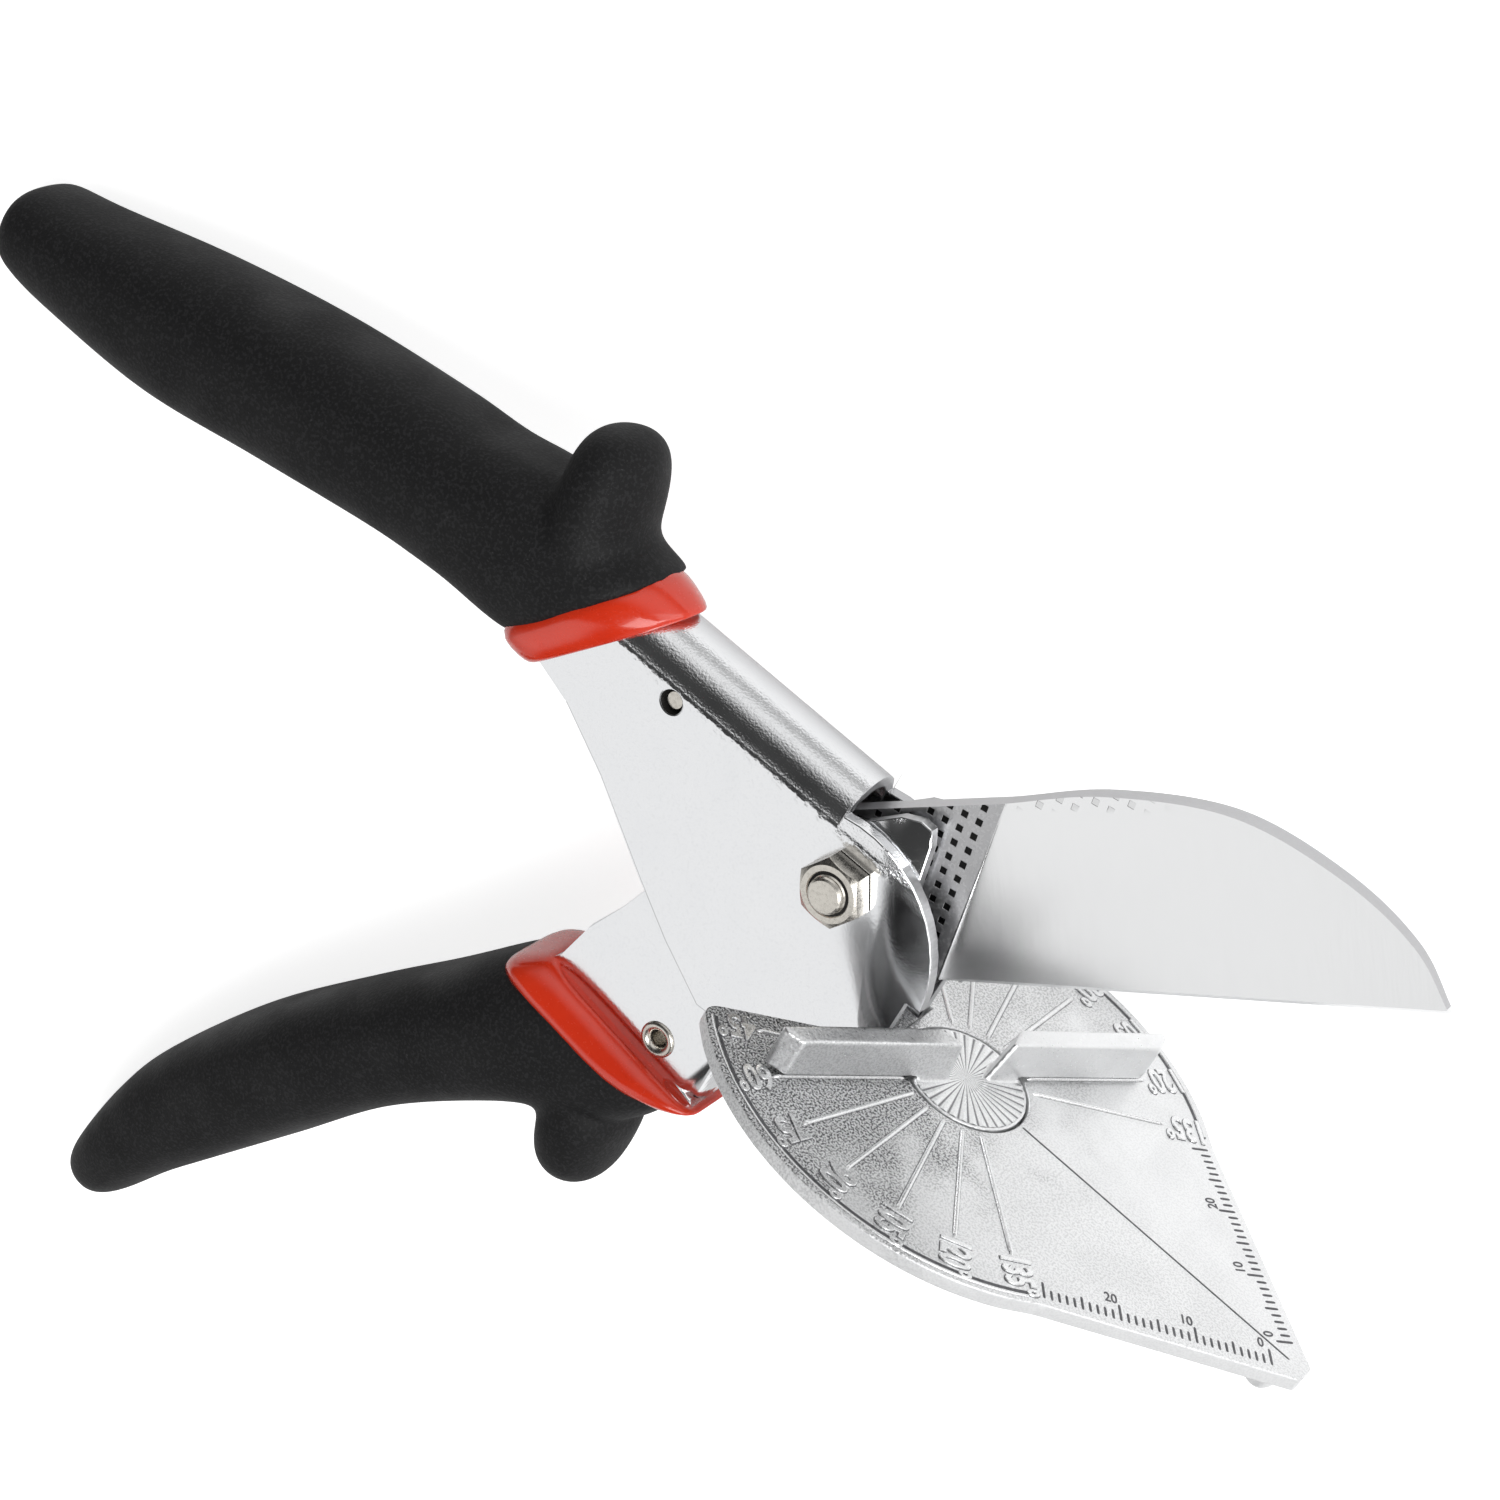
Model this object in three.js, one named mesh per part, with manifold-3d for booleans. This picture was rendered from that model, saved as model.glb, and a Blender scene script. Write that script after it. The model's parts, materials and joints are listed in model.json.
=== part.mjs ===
// Mitre shears: a folded steel upper handle carries a cast protractor table with a swivelling
// fence, and a lower handle that turns between its cheeks swings the blade down on the table.
// Everything is drawn in the tool's own axes, and the finished shears are then laid on one side.
// Tool axes: the origin is the protractor's centre on the table's top face, +X runs along the
// cut line to the table's tip, +Z stands square out of the table, and the blade lies in Y = 0.
import * as THREE from "three";
import { mergeVertices } from "three/addons/utils/BufferGeometryUtils.js";
import { ConvexHull } from "three/addons/math/ConvexHull.js";
import Module from "manifold-3d";

const wasm = await Module();
wasm.setup();

// Clearances in millimetres, like every size here
const FIT_GAP = 0.3;
const SEAT_GAP = 0.15;
const RUN_GAP = 0.2;
const CUT_OVERRUN = 3;
const MERGE_SHARE = 0.001;

// Pivot of the handles, behind and above the protractor's centre
const PIVOT_BACK = 24.4;
const PIVOT_HEIGHT = 13.8;
const OPEN_DEGREES = 39.6;
const EDGE_LIFT = 0.3;

// Upper handle: a folded channel with a half-round spine
const UPPER_LENGTH = 100;
const UPPER_WIDTH = 12;
const UPPER_SHEET = 1.8;
const SPINE_RISE = 11.7;
const SPINE_FRONT = 4.2;
const CHEEK_RADIUS = 16.6;
const CHEEK_DROP = 8.1;

// Lower handle: a narrower channel that turns between the upper cheeks
const LOWER_LENGTH = 100;
const LOWER_SHEET = 1.6;

// Grips and collars: half widths across the handles
const GRIP_HALF_WIDTH = 10.4;
const COLLAR_FRONT_HALF_WIDTH = 7.4;
const COLLAR_REAR_HALF_WIDTH = 8.8;
const ROUND_POWER = 2;
const GRIP_POWER = 2.8;
const SQUARE_POWER = 5;

// Blade: sizes along its edge from the heel, and square to the edge
const EDGE_LENGTH = 64.6;
const BLADE_DEPTH = 24.2;
const BLADE_THICKNESS = 3;
const GROUND_THICKNESS = 1.2;
const BEVEL_HEIGHT = 1.3;
const EDGE_THICKNESS = 0.3;
const TAIL_LENGTH = 40.6;
const HOLE_FROM_HEEL = 8.5;
const SLOT_WIDTH = 6.8;
const SLOT_DEPTH = 8.8;
const SLOT_ROOT_FROM_HEEL = 27.3;
const PRONG_LAND = 2;
const HOLE_LAND = 2.3;

// Pivot hardware
const BOLT_DIAMETER = 5;
const ACROSS_FLATS = 8;
const NUT_HEIGHT = 3;
const HEAD_HEIGHT = 3.5;
const BOLT_END = 1;
const BOLT_END_CHAMFER = 0.4;
const BUSH_DIAMETER = 8.6;
const SHIM_DIAMETER = 15;

// Pins and rivets
const ANCHOR_PIN_DIAMETER = 2.5;
const ANCHOR_HOLE_DIAMETER = 3.2;
const ANCHOR_RECESS = 1;
const HOLLOW_RIVET_DIAMETER = 3.8;
const HOLLOW_RIVET_BORE = 2.2;
const HOLLOW_RIVET_FLANGE = 5;
const HOLLOW_RIVET_LIP = 0.5;
const BLADE_PIN_NECK = 4;
const TABLE_RIVET_DIAMETER = 3;
const TABLE_RIVET_HEAD = 4.4;
const TABLE_RIVET_DOME = 1;

// Return spring of round wire
const WIRE_DIAMETER = 1;
const SPRING_PITCH = 1.5;
const SPRING_TURNS = 2.25;
const SPRING_FOOT = 4.4;
const SPRING_LEG_GAP = 1.5;
const HOOK_FROM_DEGREES = 0;
const HOOK_TO_DEGREES = 240;
const HOOK_OFFSET = 0.4;

// Table: a cast plate with raised protractor lines and a groove for the edge
const TABLE_RADIUS = 35;
const TABLE_THICKNESS = 2.1;
const TIP_REACH = 53;
const TIP_HALF_WIDTH = 1.6;
const SHOULDER_DEGREES = 41;
const EAR_DEGREES = 139.5;
const LINE_REACH = 28.2;
const LINE_START = 9.3;
const LINE_WIDTH = 0.55;
const LINE_HEIGHT = 0.25;
const LINE_STEP_DEGREES = 15;
const LINE_FIRST_DEGREES = 45;
const GROOVE_DEPTH = 0.4;
const BOSS_WALL = 1;
const BOSS_DEPTH = 2;
const LUG_LENGTH = 8.6;
const LUG_DEPTH = 9.2;
const FOOT_RADIUS = 2.2;
const FOOT_HEIGHT = 2;
const FOOT_BACK = 5;

// Fence: two arms on a round hub that turns in the table
const HUB_RADIUS = 8.3;
const STEM_RADIUS = 5;
const ARM_REACH = 28.8;
const ARM_TOP = 6.3;
const ARM_THICKNESS = 2.8;
const ARM_FACE_LEAD = 0.4;
const ARM_END_CHAMFER = 1.8;
const ARM_GAP_FLARE = 0.8;
const FENCE_DEGREES = 30;
const SWING_DEGREES = 45;
const SCREW_DIAMETER = 4;
const SCREW_GRIP_DEPTH = 2.8;
const SCREW_HEAD_DIAMETER = 7;
const SCREW_HEAD_HEIGHT = 2.4;
const SOCKET_ACROSS_FLATS = 2.5;
const SOCKET_DEPTH = 1.4;
const WASHER_DIAMETER = 12;
const WASHER_THICKNESS = 1;
const SPRING_WASHER_DIAMETER = 7;
const SPRING_WASHER_THICKNESS = 0.9;
const SPRING_WASHER_SPLIT = 0.7;

// Facets of round forms
const ROUND_SIDES = 48;
const SMALL_SIDES = 24;
const GRIP_SIDES = 20;
const GRIP_RINGS = 26;
const ARC_STEPS = 10;
const WIRE_STEPS = 76;
const WIRE_SIDES = 5;
const COIL_STEPS = 8;
const GAP_SAMPLES = 300;

// Materials
function finish(color, roughness, metalness) {
  return new THREE.MeshStandardMaterial({ color, roughness, metalness });
}
const plated = finish(0xd6d8da, 0.18, 1);
const bladeSteel = finish(0xb4b6b8, 0.3, 1);
const castZinc = finish(0xc4c6c8, 0.38, 1);
const nickel = finish(0xa8a294, 0.35, 1);
const springSteel = finish(0x8c8c8a, 0.4, 1);
const bronze = finish(0xa8824a, 0.45, 1);
const rubber = finish(0x1d1d1f, 0.85, 0);
const redPlastic = finish(0xd42410, 0.25, 0);

const radians = THREE.MathUtils.degToRad;

// Solids, joins and cuts
function solid(geometry) {
  const bare = geometry.clone();
  bare.deleteAttribute("normal");
  bare.deleteAttribute("uv");
  const merged = mergeVertices(bare, SEAT_GAP * MERGE_SHARE);
  const vertProperties = merged.attributes.position.array;
  const triVerts = new Uint32Array(merged.index.array);
  return new wasm.Manifold(new wasm.Mesh({ numProp: 3, vertProperties, triVerts }));
}
function joined(first, ...others) {
  return others.reduce((sum, other) => sum.add(other), first);
}
function cut(first, ...others) {
  return others.reduce((sum, other) => sum.subtract(other), first);
}
function geometryOf(body) {
  const data = body.getMesh();
  const geometry = new THREE.BufferGeometry();
  geometry.setAttribute("position", new THREE.BufferAttribute(data.vertProperties, 3));
  geometry.setIndex(new THREE.BufferAttribute(data.triVerts, 1));
  const faceted = geometry.toNonIndexed();
  faceted.computeVertexNormals();
  return faceted;
}
function piece(name, shape, look) {
  const geometry = shape.isBufferGeometry ? shape : geometryOf(shape);
  const mesh = new THREE.Mesh(geometry, look);
  mesh.name = name;
  return mesh;
}

// Plates: outline points are [x, z] for a plate across Y, and [x, y] for one across Z
function outlineOf(points) {
  return new THREE.Shape(points.map(([a, b]) => new THREE.Vector2(a, b)));
}
function extruded(shape, depth) {
  const options = { depth, bevelEnabled: false, curveSegments: ARC_STEPS };
  return new THREE.ExtrudeGeometry(shape, options);
}
function acrossY(shape, halfWidth) {
  return extruded(shape, 2 * halfWidth).rotateX(Math.PI / 2).translate(0, halfWidth, 0);
}
function sidePlate(points, halfWidth) {
  return solid(acrossY(outlineOf(points), halfWidth));
}
function levelPlate(points, fromZ, toZ) {
  return solid(extruded(outlineOf(points), toZ - fromZ).translate(0, 0, fromZ));
}
function boxGeometry([fromX, toX], [fromY, toY], [fromZ, toZ]) {
  const geometry = new THREE.BoxGeometry(toX - fromX, toY - fromY, toZ - fromZ);
  return geometry.translate((fromX + toX) / 2, (fromY + toY) / 2, (fromZ + toZ) / 2);
}
function arc([x, z], radius, fromDegrees, toDegrees) {
  const count = Math.ceil(ARC_STEPS * Math.abs(toDegrees - fromDegrees) / 90);
  return Array.from({ length: count + 1 }, (_, i) => {
    const angle = radians(fromDegrees + (toDegrees - fromDegrees) * i / count);
    return [x + radius * Math.cos(angle), z + radius * Math.sin(angle)];
  });
}

// The outline moved outwards by a gap, with mitred corners; the points run clockwise
function grown(points, gap) {
  return points.map((point, i) => {
    const before = points[(i + points.length - 1) % points.length];
    const after = points[(i + 1) % points.length];
    const into = new THREE.Vector2(point[0] - before[0], point[1] - before[1]).normalize();
    const out = new THREE.Vector2(after[0] - point[0], after[1] - point[1]).normalize();
    const mitre = new THREE.Vector2(-into.y - out.y, into.x + out.x);
    const reach = 2 * gap / mitre.lengthSq();
    return [point[0] + mitre.x * reach, point[1] + mitre.y * reach];
  });
}

// Round bodies: profile points are [radius, place along the axis]
function turned(profile, sides) {
  return new THREE.LatheGeometry(profile.map(([r, h]) => new THREE.Vector2(r, h)), sides);
}
function turnedOnY(profile, [x, z], sides = SMALL_SIDES) {
  return solid(turned(profile, sides).translate(x, 0, z));
}
function turnedOnZ(profile, [x, y], sides = SMALL_SIDES) {
  return solid(turned(profile, sides).rotateX(Math.PI / 2).translate(x, y, 0));
}
function rodProfile(radius, from, to) {
  return [[0, from], [radius, from], [radius, to], [0, to]];
}
function ringProfile(inner, outer, from, to) {
  return [[inner, from], [outer, from], [outer, to], [inner, to], [inner, from]];
}
function hexPrism(acrossFlats, from, to) {
  const radius = acrossFlats / Math.sqrt(3);
  const geometry = new THREE.CylinderGeometry(radius, radius, to - from, 6);
  return geometry.translate(0, (from + to) / 2, 0);
}
function rodAlong([fromX, fromZ], [toX, toZ], radius) {
  const length = Math.hypot(toX - fromX, toZ - fromZ);
  const geometry = turned(rodProfile(radius, 0, length), ROUND_SIDES);
  geometry.rotateZ(-Math.PI / 2);
  geometry.rotateY(-Math.atan2(toZ - fromZ, toX - fromX));
  return solid(geometry.translate(fromX, 0, fromZ));
}

// A closed skin through rings of rounded sections; each ring runs from a top to a bottom point,
// and a higher power makes that half of the section squarer
function lofted(rings) {
  const positions = [];
  const faces = [];
  for (const { top, bottom, half, topPower, bottomPower } of rings) {
    for (let i = 0; i < GRIP_SIDES; i++) {
      const angle = 2 * Math.PI * i / GRIP_SIDES;
      const power = 2 / (Math.cos(angle) > 0 ? topPower : bottomPower);
      const across = Math.sign(Math.sin(angle)) * Math.abs(Math.sin(angle)) ** power;
      const along = Math.sign(Math.cos(angle)) * Math.abs(Math.cos(angle)) ** power;
      const share = (1 - along) / 2;
      const x = top[0] + (bottom[0] - top[0]) * share;
      const z = top[1] + (bottom[1] - top[1]) * share;
      positions.push(x, half * across, z);
    }
  }
  const last = (rings.length - 1) * GRIP_SIDES;
  for (let ring = 0; ring < last; ring += GRIP_SIDES) {
    for (let i = 0; i < GRIP_SIDES; i++) {
      const next = (i + 1) % GRIP_SIDES;
      faces.push(ring + i, ring + next, ring + GRIP_SIDES + i);
      faces.push(ring + next, ring + GRIP_SIDES + next, ring + GRIP_SIDES + i);
    }
  }
  for (let i = 1; i < GRIP_SIDES - 1; i++) {
    faces.push(0, i + 1, i);
    faces.push(last, last + i, last + i + 1);
  }
  const geometry = new THREE.BufferGeometry();
  geometry.setAttribute("position", new THREE.Float32BufferAttribute(positions, 3));
  geometry.setIndex(faces);
  return solid(geometry);
}

// Rings along two smooth rails: rows hold the top and bottom rails as shares of a handle's scale
// from the pivot, the width as a share, and how square the lobe's side is
function ringsAlong(rows, scale, lobeOnTop) {
  const rail = (pick) => new THREE.CatmullRomCurve3(rows.map((row) => new THREE.Vector3(...pick(row))));
  const top = rail((row) => [row[0], row[1], row[4]]).getPoints(GRIP_RINGS - 1);
  const bottom = rail((row) => [row[2], row[3], row[5]]).getPoints(GRIP_RINGS - 1);
  return top.map((point, i) => ({
    top: [point.x * scale, point.y * scale],
    bottom: [bottom[i].x * scale, bottom[i].y * scale],
    half: point.z * GRIP_HALF_WIDTH,
    topPower: lobeOnTop ? bottom[i].z : GRIP_POWER,
    bottomPower: lobeOnTop ? GRIP_POWER : bottom[i].z,
  }));
}
function collarRings(rows, scale, roundOnTop) {
  const halves = [COLLAR_FRONT_HALF_WIDTH, COLLAR_REAR_HALF_WIDTH];
  return rows.map((row, i) => ({
    top: [row[0] * scale, row[1] * scale],
    bottom: [row[2] * scale, row[3] * scale],
    half: halves[i],
    topPower: roundOnTop ? ROUND_POWER : SQUARE_POWER,
    bottomPower: roundOnTop ? SQUARE_POWER : ROUND_POWER,
  }));
}

// Half widths of the stack that the pivot bolt holds
const upperOuter = UPPER_WIDTH / 2;
const upperInner = upperOuter - UPPER_SHEET;
const lowerOuter = upperInner - RUN_GAP;
const lowerInner = lowerOuter - LOWER_SHEET;
const bladeHalf = BLADE_THICKNESS / 2;
const boltRadius = BOLT_DIAMETER / 2;
const bushRadius = BUSH_DIAMETER / 2;

// Places that the handle and the table share: the cheeks keep clear of the fence's swing and
// of the boss round its hub
const armBack = ARM_THICKNESS - ARM_FACE_LEAD;
const swing = radians(SWING_DEGREES);
const bossRadius = HUB_RADIUS + FIT_GAP + BOSS_WALL;
const swingReach = upperOuter * Math.tan(swing) + armBack / Math.cos(swing);
const bossReach = Math.sqrt(bossRadius ** 2 - upperInner ** 2);
const cheekFoot = -Math.max(swingReach, bossReach) - 2 * FIT_GAP;
const reliefTop = ARM_TOP + 2 * FIT_GAP;
const lugFront = cheekFoot - FIT_GAP;
const lugRear = lugFront - LUG_LENGTH;
const lugBottom = -TABLE_THICKNESS - LUG_DEPTH;
const lugMiddle = (lugFront + lugRear) / 2;
const rivetSpread = (LUG_LENGTH - TABLE_RIVET_HEAD) / 2;
const rivetHigh = -TABLE_THICKNESS - TABLE_RIVET_HEAD / 2 - FIT_GAP;
const rivetPlaces = [
  [lugMiddle + rivetSpread, rivetHigh],
  [lugMiddle - rivetSpread, lugBottom + TABLE_RIVET_HEAD / 2],
];

// Upper channel: outline points behind the pivot are shares of the handle's scale from it
const pivot = [-PIVOT_BACK, PIVOT_HEIGHT];
const anchorShares = [-0.304, 0.043];
const cheekRearShares = [
  [-0.08, -0.284], [-0.159, -0.24], [-0.227, -0.194], [-0.341, -0.112], [-0.43, -0.06], [-0.484, -0.041],
];
const upperTangShares = [
  [-0.55, -0.024], [-0.7, -0.026], [-1, -0.068], [-1.2, -0.106], [-1.34, -0.11], [-1.34, -0.034],
];
const spineEndShare = -0.476;
const roundEndShare = -0.42;
function onUpper([x, z]) {
  return [pivot[0] + x * UPPER_LENGTH, pivot[1] + z * UPPER_LENGTH];
}
const anchor = onUpper(anchorShares);
const spineTop = pivot[1] + SPINE_RISE;
const spineAxis = spineTop - upperOuter;
const spineFront = pivot[0] - SPINE_FRONT;
const spineEnd = onUpper([spineEndShare, 0])[0];
const roundEnd = onUpper([roundEndShare, 0])[0];

function upperOutline() {
  const centre = [pivot[0], pivot[1] - CHEEK_DROP];
  const lowest = THREE.MathUtils.radToDeg(Math.asin((reliefTop + FIT_GAP - centre[1]) / CHEEK_RADIUS));
  const highest = THREE.MathUtils.radToDeg(Math.acos(-SPINE_FRONT / CHEEK_RADIUS));
  return [
    [spineFront, spineTop],
    ...arc(centre, CHEEK_RADIUS, highest, lowest),
    [cheekFoot, reliefTop],
    [cheekFoot, lugBottom - FIT_GAP],
    [lugRear, lugBottom - UPPER_SHEET],
    ...cheekRearShares.map(onUpper),
    ...upperTangShares.map(onUpper),
    [spineEnd, spineTop],
  ];
}

// The corner that a half-round bend takes off a square channel along the spine
function spineCorner(gap) {
  const from = roundEnd;
  const to = spineFront + gap;
  const reach = upperOuter + gap + CUT_OVERRUN;
  const block = boxGeometry([from, to], [-reach, reach], [spineAxis, spineTop + gap + CUT_OVERRUN]);
  const bend = rodAlong([from - CUT_OVERRUN, spineAxis], [to + CUT_OVERRUN, spineAxis], upperOuter + gap);
  return cut(solid(block), bend);
}
function upperEnvelope(gap) {
  const plate = sidePlate(grown(upperOutline(), gap), upperOuter + gap);
  return cut(plate, spineCorner(gap));
}
function upperHollow() {
  const floor = lugBottom - UPPER_LENGTH;
  const tangEnd = onUpper(upperTangShares[upperTangShares.length - 1]);
  const slope = (spineTop - tangEnd[1]) / (spineEnd - tangEnd[0]);
  const square = [
    [spineFront, spineAxis],
    [spineFront, spineTop + CUT_OVERRUN],
    [cheekFoot + UPPER_LENGTH, spineTop + CUT_OVERRUN],
    [cheekFoot + UPPER_LENGTH, floor],
    [tangEnd[0] - CUT_OVERRUN, floor],
    [tangEnd[0] - CUT_OVERRUN, tangEnd[1] - slope * CUT_OVERRUN - UPPER_SHEET],
    [spineEnd, spineTop - UPPER_SHEET],
    [roundEnd - UPPER_SHEET, spineTop - UPPER_SHEET],
    [roundEnd - UPPER_SHEET, spineAxis],
  ];
  const bend = rodAlong([roundEnd - CUT_OVERRUN, spineAxis], [0, spineAxis], upperInner);
  return joined(sidePlate(square, upperInner), bend);
}
function upperChannel() {
  const reach = upperOuter + CUT_OVERRUN;
  const hole = (radius, place) => turnedOnY(rodProfile(radius, -reach, reach), place);
  return cut(
    upperEnvelope(0),
    upperHollow(),
    hole(boltRadius + RUN_GAP, pivot),
    hole(ANCHOR_HOLE_DIAMETER / 2, anchor),
    ...rivetPlaces.map((place) => hole(TABLE_RIVET_DIAMETER / 2 + FIT_GAP, place)),
  );
}

// Upper grip: rows hold the top rail, the bottom rail and the width, as shares
const upperGripShares = [
  [-0.3985, 0.1485, -0.5438, -0.0505, 0.86, 2.1],
  [-0.438, 0.176, -0.56, -0.053, 0.87, 1.75],
  [-0.461, 0.214, -0.574, -0.055, 0.86, 1.6],
  [-0.488, 0.249, -0.586, -0.055, 0.85, 1.5],
  [-0.532, 0.263, -0.6, -0.054, 0.84, 1.5],
  [-0.574, 0.248, -0.614, -0.053, 0.86, 1.5],
  [-0.588, 0.212, -0.628, -0.052, 0.92, 1.6],
  [-0.606, 0.168, -0.648, -0.052, 0.98, 1.9],
  [-0.698, 0.146, -0.69, -0.053, 1, 2.3],
  [-0.798, 0.137, -0.778, -0.064, 1, 2.3],
  [-0.995, 0.108, -0.975, -0.102, 1, 2.3],
  [-1.192, 0.063, -1.172, -0.141, 0.96, 2.3],
  [-1.387, 0.005, -1.373, -0.143, 0.88, 2.2],
  [-1.47, -0.02, -1.47, -0.134, 0.78, 2],
  [-1.505, -0.037, -1.507, -0.116, 0.56, 2],
  [-1.517, -0.058, -1.519, -0.096, 0.3, 2],
];
const upperCollarShares = [
  [-0.348, 0.131, -0.5, -0.06],
  [-0.396, 0.146, -0.54, -0.05],
];
function upperCovers() {
  const place = (rings) => rings.map((ring) => ({
    ...ring,
    top: [ring.top[0] + pivot[0], ring.top[1] + pivot[1]],
    bottom: [ring.bottom[0] + pivot[0], ring.bottom[1] + pivot[1]],
  }));
  const bore = upperEnvelope(FIT_GAP);
  const grip = lofted(place(ringsAlong(upperGripShares, UPPER_LENGTH, true)));
  const collar = lofted(place(collarRings(upperCollarShares, UPPER_LENGTH, true)));
  return { collar: cut(collar, bore), grip: cut(grip, bore) };
}

// Lower channel, drawn about the pivot: its web is half round along the throat
const noseShares = [
  [-0.021, 0.081], [0.013, 0.119], [0.037, 0.132], [0.054, 0.131], [0.064, 0.112], [0.079, 0.042],
];
const mouthShares = [[0.069, -0.04], [0.049, -0.138]];
const webTopShares = [0.035, -0.218];
const webFootShares = [-0.021, -0.429];
const lowerTangShares = [[-0.185, -0.495], [-0.685, -1.135]];
const lowerRearShares = [
  [-0.74, -1.115], [-0.31, -0.435], [-0.278, -0.385], [-0.261, -0.314], [-0.237, -0.261], [-0.22, -0.212],
  [-0.215, -0.13], [-0.181, -0.071], [-0.043, 0.041],
];
const hollowRivetShares = [-0.107, -0.384];
function onLower([x, z]) {
  return [x * LOWER_LENGTH, z * LOWER_LENGTH];
}
const hollowRivet = onLower(hollowRivetShares);
const webTop = onLower(webTopShares);
const webFoot = onLower(webFootShares);
const webRun = new THREE.Vector2(webFoot[0] - webTop[0], webFoot[1] - webTop[1]).normalize();
function fromWeb([x, z], inwards, along) {
  return [
    x + webRun.y * inwards + webRun.x * along,
    z - webRun.x * inwards + webRun.y * along,
  ];
}

// Places in the blade's own axes, turned to where they lie when the handles are open
const open = radians(OPEN_DEGREES);
const holeDepth = PIVOT_HEIGHT - EDGE_LIFT;
function onBlade([along, depth]) {
  return [along + HOLE_FROM_HEEL, depth - holeDepth];
}
function openPlace([x, z]) {
  return [x * Math.cos(open) - z * Math.sin(open), x * Math.sin(open) + z * Math.cos(open)];
}
const slotEnd = onBlade([-SLOT_ROOT_FROM_HEEL, SLOT_DEPTH]);
const bladePinPlace = openPlace(slotEnd);

function lowerOutline() {
  return [
    ...noseShares.map(onLower),
    ...mouthShares.map(onLower),
    webTop,
    webFoot,
    ...lowerTangShares.map(onLower),
    ...lowerRearShares.map(onLower),
  ];
}
function lowerEnvelope(gap) {
  const outside = -gap - CUT_OVERRUN;
  const strip = [
    fromWeb(webTop, outside, 0),
    fromWeb(webTop, lowerOuter, 0),
    fromWeb(webFoot, lowerOuter, 0),
    fromWeb(webFoot, outside, 0),
  ];
  const bend = rodAlong(
    fromWeb(webTop, lowerOuter, -CUT_OVERRUN),
    fromWeb(webFoot, lowerOuter, CUT_OVERRUN),
    lowerOuter + gap,
  );
  const corner = cut(sidePlate(strip, lowerOuter + gap + CUT_OVERRUN), bend);
  return cut(sidePlate(grown(lowerOutline(), gap), lowerOuter + gap), corner);
}
function lowerHollow() {
  const inner = grown(lowerOutline(), -LOWER_SHEET);
  const webIndex = noseShares.length + mouthShares.length + 1;
  const [foot, bendPoint, tangEnd] = inner.slice(webIndex, webIndex + 3);
  const slope = (tangEnd[1] - bendPoint[1]) / (tangEnd[0] - bendPoint[0]);
  const far = LOWER_LENGTH;
  const throat = [
    [far, far],
    [far, webTop[1]],
    fromWeb(webTop, lowerOuter, 0),
    fromWeb(webFoot, lowerOuter, 0),
    foot,
    bendPoint,
    tangEnd,
    [tangEnd[0] - CUT_OVERRUN, tangEnd[1] - slope * CUT_OVERRUN],
    [tangEnd[0] - far, tangEnd[1]],
    [-far, far],
  ];
  const bend = rodAlong(
    fromWeb(webTop, lowerOuter, -CUT_OVERRUN),
    fromWeb(webFoot, lowerOuter, -LOWER_SHEET),
    lowerInner,
  );
  return joined(sidePlate(throat, lowerInner), bend);
}
function lowerChannel() {
  const reach = lowerOuter + CUT_OVERRUN;
  const hole = (radius, place) => turnedOnY(rodProfile(radius, -reach, reach), place);
  return cut(
    lowerEnvelope(0),
    lowerHollow(),
    hole(bushRadius + RUN_GAP, [0, 0]),
    hole(HOLLOW_RIVET_DIAMETER / 2 + SEAT_GAP, hollowRivet),
    hole(BLADE_PIN_NECK / 2 + SEAT_GAP, bladePinPlace),
  );
}

// Lower grip and collar, on the same rails as the upper ones
const lowerGripShares = [
  [-0.3315, -0.4305, -0.0495, -0.4635, 0.86, 2.2],
  [-0.346, -0.452, -0.074, -0.53, 0.86, 1.8],
  [-0.356, -0.468, -0.08, -0.6, 0.84, 1.6],
  [-0.366, -0.484, -0.094, -0.67, 0.8, 1.4],
  [-0.376, -0.498, -0.124, -0.706, 0.8, 1.35],
  [-0.386, -0.512, -0.15, -0.684, 0.82, 1.35],
  [-0.398, -0.526, -0.172, -0.634, 0.88, 1.4],
  [-0.413, -0.542, -0.214, -0.61, 0.93, 1.6],
  [-0.441, -0.573, -0.283, -0.676, 0.97, 2],
  [-0.531, -0.693, -0.383, -0.795, 1, 2.3],
  [-0.65, -0.855, -0.496, -0.958, 1, 2.3],
  [-0.748, -1.029, -0.604, -1.124, 0.94, 2.3],
  [-0.784, -1.126, -0.658, -1.208, 0.9, 2.3],
  [-0.808, -1.235, -0.707, -1.295, 0.82, 2.2],
  [-0.815, -1.3, -0.734, -1.33, 0.66, 2],
  [-0.802, -1.338, -0.761, -1.35, 0.36, 2],
];
const lowerCollarShares = [
  [-0.288, -0.395, -0.002, -0.422],
  [-0.329, -0.428, -0.047, -0.46],
];
function lowerCovers() {
  const bore = lowerEnvelope(FIT_GAP);
  const grip = lofted(ringsAlong(lowerGripShares, LOWER_LENGTH, false));
  const collar = lofted(collarRings(lowerCollarShares, LOWER_LENGTH, false));
  return { collar: cut(collar, bore), grip: cut(grip, bore) };
}

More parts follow.
